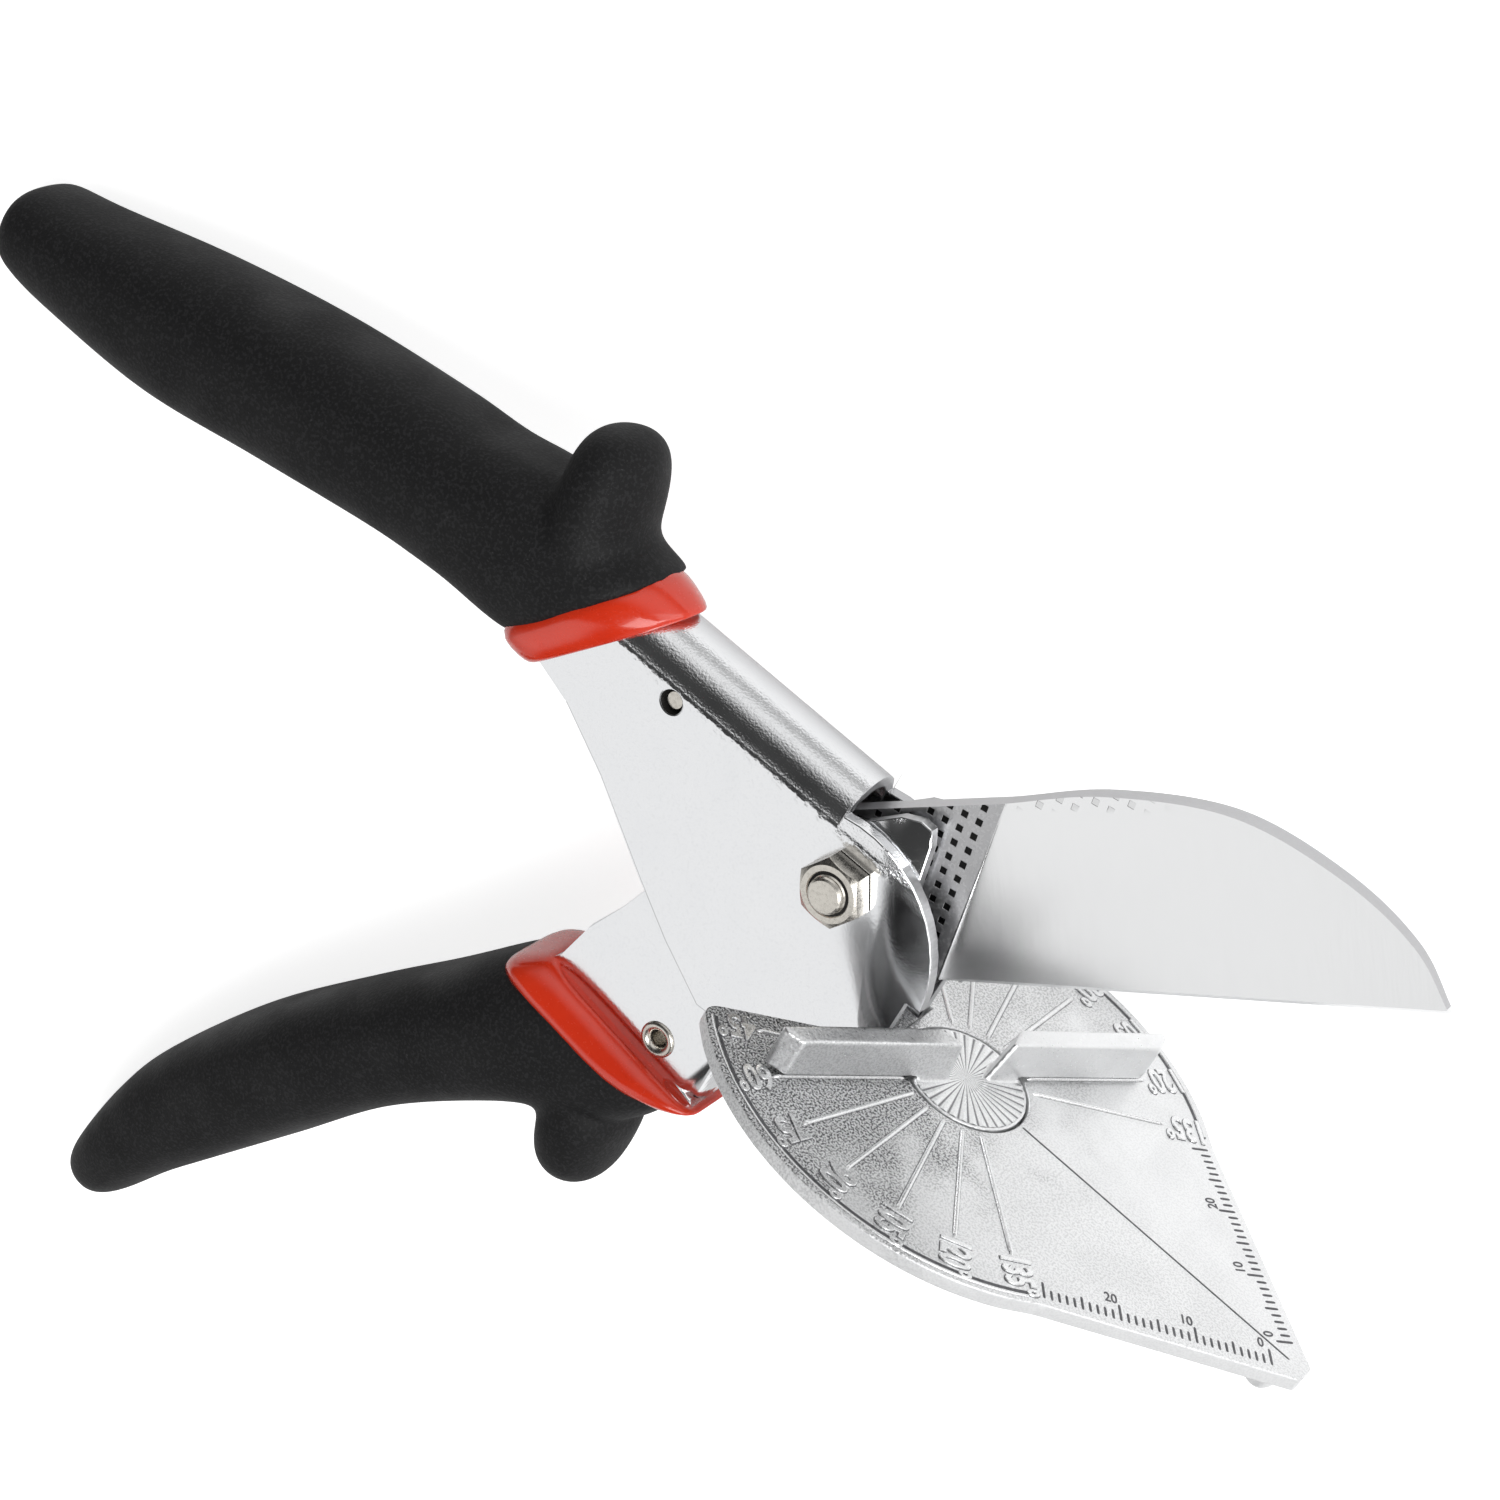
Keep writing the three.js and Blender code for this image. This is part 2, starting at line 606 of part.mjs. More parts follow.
// Blade: a curved back, a ground front and a slotted tail that hooks over the blade pin
const backShares = [[1, 0], [0.95, 0.32], [0.83, 0.64], [0.642, 0.92], [0.403, 1], [0.19, 0.95]];
const tailBackShare = 0.734;
const prongBackShare = 0.911;
const prongCornerShare = 0.05;
const grindLeanShare = 0.56;
function bladeOutline() {
  const slotHalf = SLOT_WIDTH / 2;
  const corner = TAIL_LENGTH * prongCornerShare;
  const back = new THREE.SplineCurve(
    backShares.map(([u, v]) => new THREE.Vector2(u * EDGE_LENGTH, v * BLADE_DEPTH)),
  );
  return [
    [0, 0],
    ...back.getPoints(2 * ARC_STEPS).map(({ x, y }) => [x, y]),
    [-TAIL_LENGTH * tailBackShare, holeDepth + bushRadius + RUN_GAP + HOLE_LAND],
    [-TAIL_LENGTH * prongBackShare, SLOT_DEPTH + slotHalf + PRONG_LAND],
    [-TAIL_LENGTH * prongBackShare, SLOT_DEPTH + slotHalf],
    ...arc([-SLOT_ROOT_FROM_HEEL, SLOT_DEPTH], slotHalf, 90, -90),
    [-TAIL_LENGTH, SLOT_DEPTH - slotHalf],
    [-TAIL_LENGTH, corner],
    [corner - TAIL_LENGTH, 0],
  ].map(onBlade);
}

// A cutter whose face leans in from a line at one depth of the blade, on one side of it
function faceCutter(points, depth, half, lean, side) {
  const thickness = BLADE_THICKNESS;
  const geometry = extruded(outlineOf(points.map(onBlade)), thickness).rotateX(Math.PI / 2);
  const pivotLine = onBlade([0, depth])[1];
  geometry.translate(0, side > 0 ? thickness : 0, -pivotLine);
  geometry.rotateX(-side * lean);
  return solid(geometry.translate(0, side * half, pivotLine));
}
function bladeBody() {
  const over = CUT_OVERRUN;
  const ground = [
    [-over * grindLeanShare, -over],
    [EDGE_LENGTH + over, -over],
    [EDGE_LENGTH + over, BLADE_DEPTH + over],
    [(BLADE_DEPTH + over) * grindLeanShare, BLADE_DEPTH + over],
  ];
  const bevel = [[0, -over], [EDGE_LENGTH + over, -over], [EDGE_LENGTH + over, over], [0, over]];
  const grindLean = Math.atan((BLADE_THICKNESS - GROUND_THICKNESS) / 2 / BLADE_DEPTH);
  const bevelHalf = GROUND_THICKNESS / 2 + BEVEL_HEIGHT * Math.tan(grindLean);
  const bevelLean = Math.atan((bevelHalf - EDGE_THICKNESS / 2) / BEVEL_HEIGHT);
  const hole = turnedOnY(rodProfile(bushRadius + RUN_GAP, -over, over), [0, 0]);
  return cut(
    sidePlate(bladeOutline(), bladeHalf),
    ...[-1, 1].map((side) => faceCutter(ground, BLADE_DEPTH, bladeHalf, grindLean, side)),
    ...[-1, 1].map((side) => faceCutter(bevel, BEVEL_HEIGHT, bevelHalf, bevelLean, side)),
    hole,
  );
}

// Pieces on the pivot, drawn about it
function pivotPieces() {
  const cheek = upperOuter + SEAT_GAP;
  const nutEnd = cheek + NUT_HEIGHT;
  const boltEnd = nutEnd + BOLT_END;
  const shank = turnedOnY([
    [0, -boltEnd],
    [boltRadius - BOLT_END_CHAMFER, -boltEnd],
    [boltRadius, BOLT_END_CHAMFER - boltEnd],
    [boltRadius, cheek + HEAD_HEIGHT / 2],
    [0, cheek + HEAD_HEIGHT / 2],
  ], [0, 0]);
  const bolt = joined(shank, solid(hexPrism(ACROSS_FLATS, cheek, cheek + HEAD_HEIGHT)));
  const thread = rodProfile(boltRadius + SEAT_GAP, -nutEnd - CUT_OVERRUN, 0);
  const nut = cut(solid(hexPrism(ACROSS_FLATS, -nutEnd, -cheek)), turnedOnY(thread, [0, 0]));
  const wall = ringProfile(boltRadius + SEAT_GAP, bushRadius, -lowerOuter, lowerOuter);
  return [
    piece("pivot_bolt", bolt, nickel),
    piece("pivot_nut", nut, nickel),
    piece("pivot_bush", turnedOnY(wall, [0, 0]), bronze),
  ];
}
function bladeShim(side) {
  const profile = ringProfile(
    bushRadius + RUN_GAP, SHIM_DIAMETER / 2, bladeHalf + SEAT_GAP, lowerInner - SEAT_GAP,
  );
  const ring = profile.map(([r, y]) => [r, side * y]);
  return turnedOnY(side > 0 ? ring : ring.reverse(), [0, 0]);
}
function bladePin() {
  const head = SLOT_WIDTH / 2 - FIT_GAP;
  const neck = BLADE_PIN_NECK / 2;
  const step = lowerInner - SEAT_GAP;
  return turnedOnY([
    [0, -lowerOuter], [neck, -lowerOuter], [neck, -step], [head, -step],
    [head, step], [neck, step], [neck, lowerOuter], [0, lowerOuter],
  ], bladePinPlace);
}
function hollowRivetBody() {
  const bore = HOLLOW_RIVET_BORE / 2;
  const tube = HOLLOW_RIVET_DIAMETER / 2;
  const flange = HOLLOW_RIVET_FLANGE / 2;
  const seat = lowerOuter + SEAT_GAP;
  const end = seat + HOLLOW_RIVET_LIP;
  return turnedOnY([
    [bore, -end], [flange, -end], [flange, -seat], [tube, -seat],
    [tube, seat], [flange, seat], [flange, end], [bore, end], [bore, -end],
  ], hollowRivet);
}

// Pins of the upper handle
function anchorPin() {
  const end = upperOuter - ANCHOR_RECESS;
  return turnedOnY(rodProfile(ANCHOR_PIN_DIAMETER / 2, -end, end), anchor);
}
function tableRivet(place) {
  const shank = TABLE_RIVET_DIAMETER / 2;
  const head = TABLE_RIVET_HEAD / 2;
  const seat = upperOuter + SEAT_GAP;
  const dome = seat + TABLE_RIVET_DOME;
  const shoulder = seat + TABLE_RIVET_DOME / 2;
  return turnedOnY([
    [0, -dome], [head / 2, -dome], [head, -shoulder], [head, -seat], [shank, -seat],
    [shank, seat], [head, seat], [head, shoulder], [head / 2, dome], [0, dome],
  ], place);
}

// Return spring: turns round the hollow rivet, a foot on the web, and a long leg that runs up
// behind the blade's tail and hooks over the anchor pin
const legStartShares = [[-0.151, -0.353]];
const legTailShares = [[1.75, 0.067], [1, 0.285], [-0.7, 0.44], [-1.8, 0.636]];
const legEndShares = [[-0.258, -0.108], [-0.277, -0.03]];
function springLeg() {
  const besideTail = legTailShares.map(([behind, depth]) => openPlace(onBlade([
    -TAIL_LENGTH - behind * SPRING_LEG_GAP, depth * BLADE_DEPTH,
  ])));
  return [...legStartShares.map(onLower), ...besideTail, ...legEndShares.map(onLower)];
}
function springPath() {
  const wire = WIRE_DIAMETER / 2;
  const coilRadius = HOLLOW_RIVET_DIAMETER / 2 + FIT_GAP + wire;
  const hookRadius = ANCHOR_PIN_DIAMETER / 2 + FIT_GAP + wire;
  const [rivetX, rivetZ] = [pivot[0] + hollowRivet[0], pivot[1] + hollowRivet[1]];
  const half = SPRING_TURNS * SPRING_PITCH / 2;
  const points = [
    new THREE.Vector3(rivetX + SPRING_FOOT, -half, rivetZ - coilRadius),
    new THREE.Vector3(rivetX + SPRING_FOOT / 2, -half, rivetZ - coilRadius),
  ];
  const steps = Math.round(COIL_STEPS * SPRING_TURNS);
  for (let i = 0; i <= steps; i++) {
    const angle = -Math.PI / 2 - 2 * Math.PI * SPRING_TURNS * i / steps;
    const x = rivetX + coilRadius * Math.cos(angle);
    const z = rivetZ + coilRadius * Math.sin(angle);
    points.push(new THREE.Vector3(x, 2 * half * i / steps - half, z));
  }
  const leg = springLeg();
  leg.forEach(([x, z], i) => {
    const share = (i + 1) / (leg.length + 1);
    const y = half + (HOOK_OFFSET - half) * share;
    points.push(new THREE.Vector3(pivot[0] + x, y, pivot[1] + z));
  });
  const hook = arc(anchor, hookRadius, HOOK_FROM_DEGREES, HOOK_TO_DEGREES);
  hook.forEach(([x, z], i) => {
    const y = HOOK_OFFSET - 2 * HOOK_OFFSET * i / (hook.length - 1);
    points.push(new THREE.Vector3(x, y, z));
  });
  return new THREE.CatmullRomCurve3(points, false, "centripetal");
}
function returnSpring() {
  const path = springPath();
  const section = outlineOf(Array.from({ length: WIRE_SIDES }, (_, i) => {
    const angle = 2 * Math.PI * i / WIRE_SIDES;
    return [WIRE_DIAMETER / 2 * Math.cos(angle), WIRE_DIAMETER / 2 * Math.sin(angle)];
  }));
  const samples = path.getSpacedPoints(GAP_SAMPLES);
  const apart = Math.ceil(2 * Math.PI * WIRE_DIAMETER / (path.getLength() / samples.length));
  let gap = Infinity;
  samples.forEach((point, i) => {
    for (let j = i + apart; j < samples.length; j++) {
      gap = Math.min(gap, point.distanceTo(samples[j]) - WIRE_DIAMETER);
    }
  });
  console.log("return_spring: least gap to itself " + gap.toFixed(2) + " mm");
  const options = { steps: WIRE_STEPS, extrudePath: path, bevelEnabled: false };
  return new THREE.ExtrudeGeometry(section, options);
}

// Table: half of the outline on the near side, mirrored to the far side
const recessRadius = HUB_RADIUS + FIT_GAP;
const ledgeTop = -TABLE_THICKNESS - FIT_GAP;
const bossBottom = ledgeTop - BOSS_DEPTH;
function tableOutline() {
  const slotFront = cheekFoot + FIT_GAP;
  const slotHalf = upperOuter + FIT_GAP;
  const near = [
    [TIP_REACH, -TIP_HALF_WIDTH],
    ...arc([0, 0], TABLE_RADIUS, -SHOULDER_DEGREES, -EAR_DEGREES),
    [slotFront - UPPER_SHEET, -slotHalf],
    [slotFront, -slotHalf],
  ];
  const far = near.map(([x, y]) => [x, -y]).reverse();
  return [...near, ...far];
}
function bar(width, from, to, [low, high], degrees) {
  const geometry = boxGeometry([from, to], [-width / 2, width / 2], [low, high]);
  return solid(geometry.rotateZ(radians(degrees)));
}
function table() {
  const over = CUT_OVERRUN;
  const centre = [0, 0];
  const slotFront = cheekFoot + FIT_GAP;
  const plate = levelPlate(tableOutline(), -TABLE_THICKNESS, 0);
  const bossProfile = rodProfile(bossRadius, bossBottom, -TABLE_THICKNESS / 2);
  const boss = turnedOnZ(bossProfile, centre, ROUND_SIDES);
  const lug = solid(boxGeometry(
    [lugRear, slotFront + BOSS_WALL], [FIT_GAP - upperInner, upperInner - FIT_GAP],
    [lugBottom, -2 * FIT_GAP],
  ));
  const footPlace = [TIP_REACH - FOOT_BACK, 0];
  const foot = turnedOnZ(
    rodProfile(FOOT_RADIUS, -TABLE_THICKNESS - FOOT_HEIGHT, -TABLE_THICKNESS / 2), footPlace,
  );
  const lines = [];
  for (let mark = LINE_FIRST_DEGREES; mark <= 180 - LINE_FIRST_DEGREES; mark += LINE_STEP_DEGREES) {
    const heights = [-LINE_HEIGHT, LINE_HEIGHT];
    lines.push(bar(LINE_WIDTH, LINE_START, LINE_REACH, heights, mark));
    lines.push(bar(LINE_WIDTH, LINE_START, LINE_REACH, heights, -mark));
  }
  const groove = bar(LINE_WIDTH, HUB_RADIUS, TIP_REACH - TIP_HALF_WIDTH, [-GROOVE_DEPTH, over], 0);
  return cut(
    joined(plate, boss, lug, foot, ...lines),
    groove,
    turnedOnZ(rodProfile(recessRadius, ledgeTop, over), centre, ROUND_SIDES),
    turnedOnZ(rodProfile(STEM_RADIUS + FIT_GAP, bossBottom - over, 0), centre),
    ...rivetPlaces.map((place) => turnedOnY(
      rodProfile(TABLE_RIVET_DIAMETER / 2 + FIT_GAP, -upperOuter, upperOuter), place,
    )),
  );
}

// Fence, drawn with its arms along Y: the gap between them clears the blade at every swing
function fenceArm(side) {
  const back = -armBack;
  const front = ARM_FACE_LEAD;
  const points = [
    [back, 0],
    [front, 0],
    [front, ARM_REACH - ARM_END_CHAMFER],
    [front - ARM_END_CHAMFER, ARM_REACH],
    [back, ARM_REACH],
  ].map(([x, y]) => [x, side * y]);
  const rootPoints = [
    [back, 0], [front, 0], [front, HUB_RADIUS - 2 * FIT_GAP], [back, HUB_RADIUS - 2 * FIT_GAP],
  ].map(([x, y]) => [x, side * y]);
  const arm = levelPlate(points, LINE_HEIGHT + FIT_GAP, ARM_TOP);
  return joined(arm, levelPlate(rootPoints, -TABLE_THICKNESS / 2, ARM_TOP / 2));
}
function bladeGap(degrees) {
  const half = bladeHalf + FIT_GAP + RUN_GAP / 2;
  const top = half + ARM_GAP_FLARE;
  const depth = ARM_REACH;
  const right = [[half, 0], [top, ARM_TOP], [top, 2 * ARM_TOP]];
  const left = right.map(([y, z]) => [-y, z]).reverse();
  const geometry = extruded(outlineOf([...right, ...left]), depth).translate(0, 0, -depth / 2);
  geometry.rotateX(Math.PI / 2);
  return solid(geometry.rotateZ(radians(90 + degrees)));
}
function fence() {
  const centre = [0, 0];
  const hub = turnedOnZ(rodProfile(HUB_RADIUS, -TABLE_THICKNESS, 0), centre, ROUND_SIDES);
  const stem = turnedOnZ(rodProfile(STEM_RADIUS, bossBottom, -TABLE_THICKNESS / 2), centre);
  const boreTop = bossBottom + SCREW_GRIP_DEPTH;
  const bore = rodProfile(SCREW_DIAMETER / 2 + SEAT_GAP, bossBottom - CUT_OVERRUN, boreTop);
  return cut(
    joined(hub, stem, fenceArm(-1), fenceArm(1)),
    bladeGap(SWING_DEGREES),
    bladeGap(-SWING_DEGREES),
    turnedOnZ(bore, centre),
  );
}
function fenceFixings() {
  const centre = [0, 0];
  const screwHole = SCREW_DIAMETER / 2 + SEAT_GAP;
  const washerTop = bossBottom - SEAT_GAP;
  const washerBottom = washerTop - WASHER_THICKNESS;
  const lockTop = washerBottom - SEAT_GAP;
  const lockBottom = lockTop - SPRING_WASHER_THICKNESS;
  const headTop = lockBottom - SEAT_GAP;
  const headBottom = headTop - SCREW_HEAD_HEIGHT;
  const washerRing = ringProfile(screwHole, WASHER_DIAMETER / 2, washerBottom, washerTop);
  const lockRadius = SPRING_WASHER_DIAMETER / 2;
  const lockRing = turnedOnZ(ringProfile(screwHole, lockRadius, lockBottom, lockTop), centre);
  const splitHeights = [lockBottom - CUT_OVERRUN, 0];
  const split = bar(SPRING_WASHER_SPLIT, 0, lockRadius + CUT_OVERRUN, splitHeights, 0);
  const socket = hexPrism(SOCKET_ACROSS_FLATS, headBottom - CUT_OVERRUN, headBottom + SOCKET_DEPTH);
  const screw = cut(
    turnedOnZ([
      [0, headBottom], [SCREW_HEAD_DIAMETER / 2, headBottom], [SCREW_HEAD_DIAMETER / 2, headTop],
      [SCREW_DIAMETER / 2, headTop], [SCREW_DIAMETER / 2, bossBottom + SCREW_GRIP_DEPTH - FIT_GAP],
      [0, bossBottom + SCREW_GRIP_DEPTH - FIT_GAP],
    ], centre),
    solid(socket.rotateX(Math.PI / 2)),
  );
  return [
    piece("fence_washer", turnedOnZ(washerRing, centre), nickel),
    piece("fence_spring_washer", cut(lockRing, split), springSteel),
    piece("fence_screw", screw, nickel),
  ];
}

// Assembly in the tool's axes: three bodies, each a group placed on its joint
const frameGroup = new THREE.Group();
const upper = upperCovers();
frameGroup.add(
  piece("upper_channel", upperChannel(), plated),
  piece("upper_collar", upper.collar, redPlastic),
  piece("upper_grip", upper.grip, rubber),
  piece("table", table(), castZinc),
  piece("spring_anchor_pin", anchorPin(), nickel),
  piece("return_spring", returnSpring(), springSteel),
);
rivetPlaces.forEach((place, i) => {
  frameGroup.add(piece("table_rivet_" + ["front", "rear"][i], tableRivet(place), nickel));
});
const pivotGroup = new THREE.Group();
pivotGroup.position.set(pivot[0], 0, pivot[1]);
pivotGroup.add(...pivotPieces());

const bladeHandle = new THREE.Group();
bladeHandle.position.copy(pivotGroup.position);
const lower = lowerCovers();
const blade = piece("blade", bladeBody(), bladeSteel);
blade.rotation.y = -open;
bladeHandle.add(
  piece("lower_channel", lowerChannel(), plated),
  piece("lower_collar", lower.collar, redPlastic),
  piece("lower_grip", lower.grip, rubber),
  blade,
  piece("blade_shim_near", bladeShim(-1), springSteel),
  piece("blade_shim_far", bladeShim(1), springSteel),
  piece("blade_pin", bladePin(), nickel),
  piece("hollow_rivet", hollowRivetBody(), nickel),
);

const fenceGroup = new THREE.Group();
fenceGroup.rotation.z = -radians(FENCE_DEGREES);
fenceGroup.add(piece("fence", fence(), castZinc), ...fenceFixings());

const tool = new THREE.Group();
tool.add(frameGroup, pivotGroup, bladeHandle, fenceGroup);

// Weight and balance, from rough densities in grams per cubic centimetre
const densities = new Map([
  [plated, 7.8], [bladeSteel, 7.8], [castZinc, 6.7], [nickel, 7.8],
  [springSteel, 7.8], [bronze, 8.8], [rubber, 1.2], [redPlastic, 1.2],
]);
function balancePoint(group) {
  group.updateMatrixWorld(true);
  const sum = new THREE.Vector3();
  let weight = 0;
  group.traverse((mesh) => {
    if (!mesh.isMesh) return;
    const faces = mesh.geometry.index ? mesh.geometry.toNonIndexed() : mesh.geometry.clone();
    const position = faces.applyMatrix4(mesh.matrixWorld).getAttribute("position");
    for (let i = 0; i < position.count; i += 3) {
      const [a, b, c] = [0, 1, 2].map((k) => new THREE.Vector3().fromBufferAttribute(position, i + k));
      const volume = a.dot(b.clone().cross(c)) / 6 * densities.get(mesh.material);
      weight += volume;
      sum.addScaledVector(a.add(b).add(c), volume / 4);
    }
  });
  return sum.divideScalar(weight);
}

// Lay the shears down with the near side up, on the hull face that their balance point is over
function restingTurn(group) {
  const balance = balancePoint(group);
  const down = new THREE.Vector3(0, 1, 0);
  const hull = new ConvexHull().setFromObject(group);
  const under = hull.faces.filter((face) => {
    if (face.normal.dot(down) < Math.SQRT1_2) return false;
    let edge = face.edge;
    do {
      const from = edge.tail().point;
      const along = edge.head().point.clone().sub(from);
      if (along.cross(balance.clone().sub(from)).dot(face.normal) < 0) return false;
      edge = edge.next;
    } while (edge !== face.edge);
    return true;
  });
  const turn = new THREE.Quaternion().setFromUnitVectors(under[0].normal, new THREE.Vector3(0, 0, -1));
  const ahead = new THREE.Vector3(1, 0, 0).applyQuaternion(turn);
  const level = new THREE.Quaternion().setFromAxisAngle(
    new THREE.Vector3(0, 0, 1), -Math.atan2(ahead.y, ahead.x),
  );
  return level.multiply(turn);
}
tool.quaternion.copy(restingTurn(tool));
tool.updateMatrixWorld(true);
const bounds = new THREE.Box3().setFromObject(tool, true);
tool.position.set(-(bounds.min.x + bounds.max.x) / 2, -(bounds.min.y + bounds.max.y) / 2, -bounds.min.z);

const group = new THREE.Group();
group.add(tool);
export default group;
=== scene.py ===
import json
import math
from contextlib import contextmanager

import bmesh
import bpy
from mathutils import Matrix, Vector


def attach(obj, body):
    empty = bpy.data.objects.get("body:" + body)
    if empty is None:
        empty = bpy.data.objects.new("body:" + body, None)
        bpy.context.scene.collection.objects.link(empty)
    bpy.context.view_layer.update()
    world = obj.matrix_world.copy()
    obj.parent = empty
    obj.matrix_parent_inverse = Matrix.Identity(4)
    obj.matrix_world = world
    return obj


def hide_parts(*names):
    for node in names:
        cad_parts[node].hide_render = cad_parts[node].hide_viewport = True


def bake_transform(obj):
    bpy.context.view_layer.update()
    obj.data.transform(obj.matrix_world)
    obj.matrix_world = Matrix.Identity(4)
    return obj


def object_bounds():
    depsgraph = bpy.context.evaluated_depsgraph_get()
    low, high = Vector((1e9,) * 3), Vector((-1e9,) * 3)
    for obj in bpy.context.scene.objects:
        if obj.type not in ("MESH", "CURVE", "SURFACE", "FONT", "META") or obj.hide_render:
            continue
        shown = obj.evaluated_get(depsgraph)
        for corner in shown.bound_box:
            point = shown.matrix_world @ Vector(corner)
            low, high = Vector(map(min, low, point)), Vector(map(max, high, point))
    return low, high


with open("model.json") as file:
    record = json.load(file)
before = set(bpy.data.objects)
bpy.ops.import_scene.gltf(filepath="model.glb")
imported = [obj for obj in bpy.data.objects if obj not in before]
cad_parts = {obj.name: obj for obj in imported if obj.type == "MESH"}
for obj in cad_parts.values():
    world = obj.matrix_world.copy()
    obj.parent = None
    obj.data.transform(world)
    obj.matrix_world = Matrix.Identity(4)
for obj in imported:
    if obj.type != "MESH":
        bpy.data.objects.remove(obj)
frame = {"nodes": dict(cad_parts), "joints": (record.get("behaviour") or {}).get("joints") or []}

cad_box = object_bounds()

# Upper handle: a steel blank folded over a round bar into a channel and nickel plated. Its two
# cheeks carry the table and the pivot bolt, and the half-round fold between them is the spine.
# The cut edges keep the drag marks of the press tool, and their darker tone is partly the edges' own and
# partly painted shade along them.
EDGE_SOFTNESS = 0.2
SHARP_DEGREES = 30
UPPER_GRIP_COVERS_TO = -72.0
SPINE_BOTTOM = 18.5
SPINE_SIDE = 19.4
NOSE_LINE_SLOPE = 0.42
NOSE_LINE_START = 13.8
NOSE_BEND_REACH = 5.0
NOSE_BEND = -0.1
NOSE_FALL = -0.335

# The shears lie on one side, so each piece is drawn in the tool's own millimetres and then laid
# into the frame. Ahead runs along the cut line to the table's tip, across runs from the near side
# to the far side, and upward stands square out of the table, all from its centre.
joints = {joint["name"]: joint for joint in frame["joints"]}
across = Vector(joints["handle_pivot"]["axis"]).normalized()
upward = Vector(joints["fence_swivel"]["axis"]).normalized()
ahead = across.cross(upward).normalized()
turn = Matrix((ahead, across, upward)).transposed()
tool = Matrix.Translation(joints["fence_swivel"]["pos_m"]) @ turn.to_4x4() @ Matrix.Scale(0.001, 4)
pivot = tool.inverted() @ Vector(joints["handle_pivot"]["pos_m"])


@contextmanager
def opened(mesh):
    """The mesh opened for editing and written back afterwards."""
    work = bmesh.new()
    work.from_mesh(mesh)
    yield work
    work.to_mesh(mesh)
    work.free()


def dressed(name, width, seen=lambda point: True):
    """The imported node's own form in tool millimetres, with its sharp corners rounded off."""
    mesh = frame["nodes"][name].data.copy()
    mesh.transform(tool.inverted())
    with opened(mesh) as work:
        bmesh.ops.remove_doubles(work, verts=work.verts, dist=0.002)
        bmesh.ops.dissolve_limit(work, angle_limit=math.radians(0.6), verts=work.verts, edges=work.edges)
        sharp = [edge for edge in work.edges
                 if edge.is_manifold and edge.calc_face_angle(0) > math.radians(SHARP_DEGREES)
                 and all(seen(vert.co) for vert in edge.verts)]
        if width:
            bmesh.ops.bevel(work, geom=sharp, offset=width, segments=2, profile=0.6, affect="EDGES",
                            clamp_overlap=False)
    return mesh


def shown(name, data):
    """A new object in the scene that holds the given data."""
    made = bpy.data.objects.new(name, data)
    bpy.context.scene.collection.objects.link(made)
    return made


def shaped(data, *modifiers):
    """The mesh that a curve or a mesh becomes under the given modifiers."""
    carrier = shown("carrier", data)
    for kind, settings in modifiers:
        modifier = carrier.modifiers.new(kind, kind)
        for label, value in settings.items():
            setattr(modifier, label, value)
    final = carrier.evaluated_get(bpy.context.evaluated_depsgraph_get())
    result = bpy.data.meshes.new_from_object(final)
    bpy.data.objects.remove(carrier)
    return result


def settle(name, mesh, body, replaced, materials, crease=24):
    """Lays a mesh drawn in tool millimetres into the frame as a piece that rides on a body."""
    mesh.transform(tool)
    indices = [face.material_index for face in mesh.polygons]
    mesh.materials.clear()
    for material in materials:
        mesh.materials.append(material)
    for face, index in zip(mesh.polygons, indices):
        face.material_index = min(index, len(materials) - 1)
    mesh.shade_smooth()
    mesh.set_sharp_from_angle(angle=math.radians(crease))
    if crease < 60:
        mesh = shaped(mesh, ("WEIGHTED_NORMAL", {"keep_sharp": True, "weight": 100}))
    piece = shown(name, mesh)
    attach(piece, body)
    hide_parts(*replaced)


def node(tree, kind, feeds=None, **settings):
    """A shader node whose inputs are fed from sockets or plain values."""
    made = tree.nodes.new("ShaderNode" + kind)
    for name, value in settings.items():
        setattr(made, name, value)
    for name, value in (feeds or {}).items():
        if isinstance(value, bpy.types.NodeSocket):
            tree.links.new(value, made.inputs[name])
        else:
            made.inputs[name].default_value = value
    return made


def maths(tree, operation, *values):
    return node(tree, "Math", dict(enumerate(values)), operation=operation).outputs[0]


def total(tree, first, *others):
    for other in others:
        first = maths(tree, "ADD", first, other)
    return first


def product(tree, first, *others):
    for other in others:
        first = maths(tree, "MULTIPLY", first, other)
    return first


def vector_maths(tree, operation, *values, output=0):
    return node(tree, "VectorMath", dict(enumerate(values)), operation=operation).outputs[output]


def parts_of(tree, vector):
    return tuple(node(tree, "SeparateXYZ", {"Vector": vector}).outputs)


def noise(tree, place, scale, detail):
    return node(tree, "TexNoise", {"Vector": place, "Scale": scale, "Detail": detail}).outputs["Fac"]


def blended(tree, factor, low, high):
    return node(tree, "Mix", {0: factor, 6: low, 7: high}, data_type="RGBA").outputs[2]


def between(tree, value, start, end, low=0.0, high=1.0):
    """Goes smoothly from low to high while the value goes from start to end."""
    feeds = {"Value": value, "From Min": start, "From Max": end, "To Min": low, "To Max": high}
    return node(tree, "MapRange", feeds, interpolation_type="SMOOTHSTEP").outputs[0]


def bump(tree, height, strength=1.0, distance=0.001, **below):
    feeds = {"Height": height, "Strength": strength, "Distance": distance, **below}
    return node(tree, "Bump", feeds).outputs[0]


